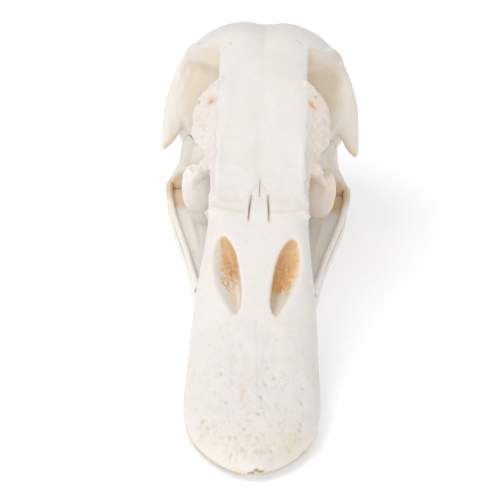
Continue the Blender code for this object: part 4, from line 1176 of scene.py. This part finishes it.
class Recipe:
    """A material with one Principled shader and a way to add nodes to it."""

    def __init__(self, name):
        self.material = bpy.data.materials.new(name)
        self.material.use_nodes = True
        self.tree = self.material.node_tree
        self.shader = self.tree.nodes["Principled BSDF"]

    def node(self, kind, settings=None, sockets=None, out=0):
        """Adds a node, makes its settings, fills its sockets with values or links, and gives one output."""
        node = self.tree.nodes.new(kind)
        for key, value in (settings or {}).items():
            setattr(node, key, value)
        for key, value in (sockets or {}).items():
            if isinstance(value, Value):
                self.tree.links.new(value.socket, node.inputs[key])
            else:
                node.inputs[key].default_value = value
        return Value(self, node.outputs[out])

    def mask(self, name):
        return self.node("ShaderNodeAttribute", {"attribute_name": name}, out="Fac")

    def noise(self, place, scale, detail=3.0, roughness=0.55):
        return self.node("ShaderNodeTexNoise", {}, {
            "Vector": place, "Scale": scale, "Detail": detail, "Roughness": roughness})

    def blend(self, factor, first, second):
        """Mixes two colours by a factor: sockets 0, 6 and 7 take them, and output 2 is the colour."""
        settings = {"data_type": "RGBA", "blend_type": "MIX", "clamp_factor": True}
        return self.node("ShaderNodeMix", settings, {0: factor, 6: first, 7: second}, out=2)

    def steps(self, value, low, high):
        """0 below low, 1 above high, straight between them."""
        sockets = {"Value": value, "From Min": low, "From Max": high, "To Min": 0.0, "To Max": 1.0}
        return self.node("ShaderNodeMapRange", {"clamp": True}, sockets)

    def keep(self, constants):
        """Sets sockets of the shader that stay the same all over."""
        for key, value in constants.items():
            self.shader.inputs[key].default_value = value

    def feed(self, **sockets):
        """Links values that change over the surface into the shader; an underscore stands for a space."""
        for key, value in sockets.items():
            self.tree.links.new(value.socket, self.shader.inputs[key.replace("_", " ")])


print("shader helpers ready")

# %% [markdown]
# Bone is one recipe with five masks of stain and painted shade. The bone's own shade is broken by two sizes
# of noise, each mask's colour is laid over it where the mask says, and grain, pores and the gaps of the
# sponge stand in the bump.

# %% Bone finishes
OCHRE = (0.82, 0.735, 0.59, 1)
AMBER = (0.78, 0.50, 0.24, 1)
BLUSH = (0.83, 0.745, 0.71, 1)
SHADE = (0.34, 0.24, 0.16, 1)
SPONGE = (0.72, 0.43, 0.17, 1)


def bone_finish(name, shade, pores, grain_depth):
    """Cream bone: shade broken by noise, then blush, ochre, amber and dark by their masks; pores as bump."""
    recipe = Recipe(name)
    place = recipe.node("ShaderNodeTexCoord", out="Object")
    broad = recipe.noise(place, 180.0, 2.0)
    middle = recipe.noise(place, 700.0, 3.0)
    fine = recipe.noise(place, 2600.0, 4.0, 0.65)
    cells = {"Vector": place, "Scale": 1500.0, "Randomness": 1.0}
    pore = 1 - recipe.steps(recipe.node("ShaderNodeTexVoronoi", {"feature": "F1"}, cells), 0.05, 0.32)
    warm = [part * less for part, less in zip(shade, (0.97, 0.955, 0.92))]
    dull = [part * less for part, less in zip(shade, (0.93, 0.91, 0.88))]
    colour = recipe.blend(recipe.steps(broad, 0.35, 0.7) * 0.5, (*shade, 1), (*warm, 1))
    colour = recipe.blend(recipe.steps(middle, 0.5, 0.75) * 0.35, colour, (*dull, 1))
    colour = recipe.blend(recipe.mask("blush") * 0.6, colour, BLUSH)
    uneven = recipe.steps(middle, 0.2, 0.8) * 0.5 + 0.75
    colour = recipe.blend(recipe.mask("ochre") * uneven, colour, OCHRE)
    colour = recipe.blend(recipe.mask("amber") * uneven, colour, AMBER)
    gap = recipe.mask("sponge") * recipe.steps(recipe.noise(place, 1700.0, 1.5, 0.4), 0.50, 0.58)
    colour = recipe.blend(gap * 0.85, colour, SPONGE)
    colour = recipe.blend(recipe.mask("dark"), colour, SHADE)
    colour = recipe.blend(pore * pores * 0.35, colour, OCHRE)
    rough = recipe.steps(fine, 0.3, 0.7) * 0.14 + 0.46
    height = fine * 0.35 + middle * 0.45 - pore * pores - gap * 2.0
    sockets = {"Strength": 0.55, "Distance": grain_depth * MM, "Height": height}
    recipe.feed(Base_Color=colour, Roughness=rough, Normal=recipe.node("ShaderNodeBump", {}, sockets))
    recipe.keep({
        "Subsurface Weight": 0.25, "Subsurface Radius": (1.0, 0.6, 0.35), "Subsurface Scale": 0.9 * MM,
        "Specular IOR Level": 0.35})
    return recipe.material


skull_finish = bone_finish("skull_bone", (0.855, 0.832, 0.80), 0.25, 0.05)
bill_finish = bone_finish("bill_bone", (0.855, 0.83, 0.80), 0.55, 0.06)
lacrimal_finish = bone_finish("lacrimal_bone", (0.875, 0.857, 0.835), 0.8, 0.10)
jaw_finish = bone_finish("jaw_bone", (0.92, 0.905, 0.88), 0.35, 0.07)
palate_finish = bone_finish("palate_bone", (0.85, 0.81, 0.75), 0.3, 0.05)
print("finishes:", [m.name for m in bpy.data.materials if m.name.endswith("_bone")])

# %% [markdown]
# ## Putting the bones in the frame
# Each finished bone stands for its solid of the imported model. The paired bones are made once, on the
# skull's left side, and mirrored. Only the lacrimals are stained anew, because their stains and painted shade
# differ most between the sides.

# %% Pieces, bodies and slots
def settle(obj, node, finish):
    """Gives it smooth shading, its place, its finish and a parent, and hides the solid that it stands for."""
    obj.data.shade_smooth()
    obj.data.set_sharp_from_angle(angle=math.radians(60))
    obj.data.transform(Matrix.Translation((0, LENGTH_SHIFT * MM, 0)))
    print(obj.name, len(obj.data.polygons), "faces")
    obj.data.materials.clear()
    obj.data.materials.append(finish)
    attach(obj, "root")
    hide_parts(node)


for obj, stem, slot, finish in (
    (lacrimal, "lacrimal", "lacrimal_bone", lacrimal_finish),
    (quadrate, "quadrate", "skull_bone", skull_finish),
    (jugal, "jugal_bar", "jaw_bone", jaw_finish),
    (palatine, "palatine", "palate_bone", palate_finish),
    (pterygoid, "pterygoid", "palate_bone", palate_finish),
):
    other = mirrored(obj, stem + "_bone_right")
    obj.name = stem + "_bone_left"
    if obj is lacrimal:
        lacrimal_masks(other, (-9.6, 23.1, 34.1), (-11.9, 23.8, 33.2))
    settle(obj, stem + "_left", finish)
    settle(other, stem + "_right", finish)
settle(cranium, "cranium", skull_finish)
settle(upper_bill, "upper_bill", bill_finish)
settle(mandible, "mandible", jaw_finish)

# %% [markdown]
# ## Floor and light
# The skull lies on a plain white floor in very soft studio light. A bright surround does most of the work.
# One broad lamp from the left gives the gentle shadow on the right, and a second one in front keeps the
# shadows beside the bill pale.

# %% Floor and light
FLOOR_REACH = 4000.0
LAMP_AIM = Vector((0, 0.01, 0.02))

corners = np.array([(-1.0, -1, 0), (1, -1, 0), (1, 1, 0), (-1, 1, 0)]) * FLOOR_REACH
floor = to_object("studio_floor", [(corners, np.array([(0, 1, 2), (0, 2, 3)]))])
paper = Recipe("studio_floor")
speck = paper.noise(paper.node("ShaderNodeTexCoord", out="Object"), 60.0)
paper.feed(Base_Color=paper.blend(speck * 0.2, (0.90, 0.905, 0.915, 1), (0.895, 0.90, 0.91, 1)))
paper.keep({
    "Roughness": 0.9, "Specular IOR Level": 0.1,
    "Emission Color": (0.97, 0.985, 1.0, 1), "Emission Strength": 0.25})
floor.data.materials.append(paper.material)

world = bpy.data.worlds.new("studio")
bpy.context.scene.world = world
world.use_nodes = True
surround = world.node_tree.nodes["Background"]
surround.inputs["Color"].default_value = (1.0, 0.998, 0.995, 1)
surround.inputs["Strength"].default_value = 0.61


def studio_lamp(name, size, power, colour, place):
    """A round, soft lamp of that size in metres and power in watts, aimed at the skull's middle."""
    data = bpy.data.lights.new(name, "AREA")
    data.shape, data.size, data.energy, data.color = "DISK", size, power, colour
    lamp = added(name, data)
    turn = (Vector(place) - LAMP_AIM).to_track_quat("Z", "Y").to_matrix().to_4x4()
    lamp.matrix_world = Matrix.Translation(place) @ turn
    print(name, "at", place)


studio_lamp("soft_box", 0.5, 2.0, (1.0, 0.985, 0.965), (-0.42, -0.05, 0.74))
studio_lamp("front_fill", 0.6, 1.7, (1.0, 1.0, 1.0), (-0.04, -0.76, 0.40))
bpy.context.scene.view_settings.view_transform = "Standard"

# %% [markdown]
# ## Camera
# It looks down at thirty degrees from over half a metre away, through a long lens that keeps the skull's
# outline nearly free of perspective, and is rolled a little to the side. The lens follows from the picture's
# scale: so many pixels for each millimetre at the skull's middle.

# %% Camera
ELEVATION, AZIMUTH, ROLL = math.radians(30.0), math.radians(-0.5), math.radians(2.6)
DISTANCE, PIXELS_PER_MM, PICTURE_PIXELS, SENSOR = 600.0, 5.45, 500, 36.0
target = Vector((-1.3, LENGTH_SHIFT, 15.6))
level = math.cos(ELEVATION)
back = Vector((math.sin(AZIMUTH) * level, -math.cos(AZIMUTH) * level, math.sin(ELEVATION)))
camera_data = bpy.data.cameras.new("camera")
camera_data.sensor_width = SENSOR
camera_data.lens = PIXELS_PER_MM * DISTANCE / PICTURE_PIXELS * SENSOR
camera_data.clip_start, camera_data.clip_end = 0.01, 20
camera = added("camera", camera_data)
look = (-back).to_track_quat("-Z", "Y").to_matrix().to_4x4()
stand_at = Matrix.Translation((target + back * DISTANCE) * MM)
camera.matrix_world = stand_at @ look @ Matrix.Rotation(ROLL, 4, "Z")
bpy.context.scene.camera = camera
print("lens", round(camera_data.lens, 1), "mm")

# %% [markdown]
# ## The end
# The view layer is brought up to date, and the scene is done.

# %% The end
bpy.context.view_layer.update()
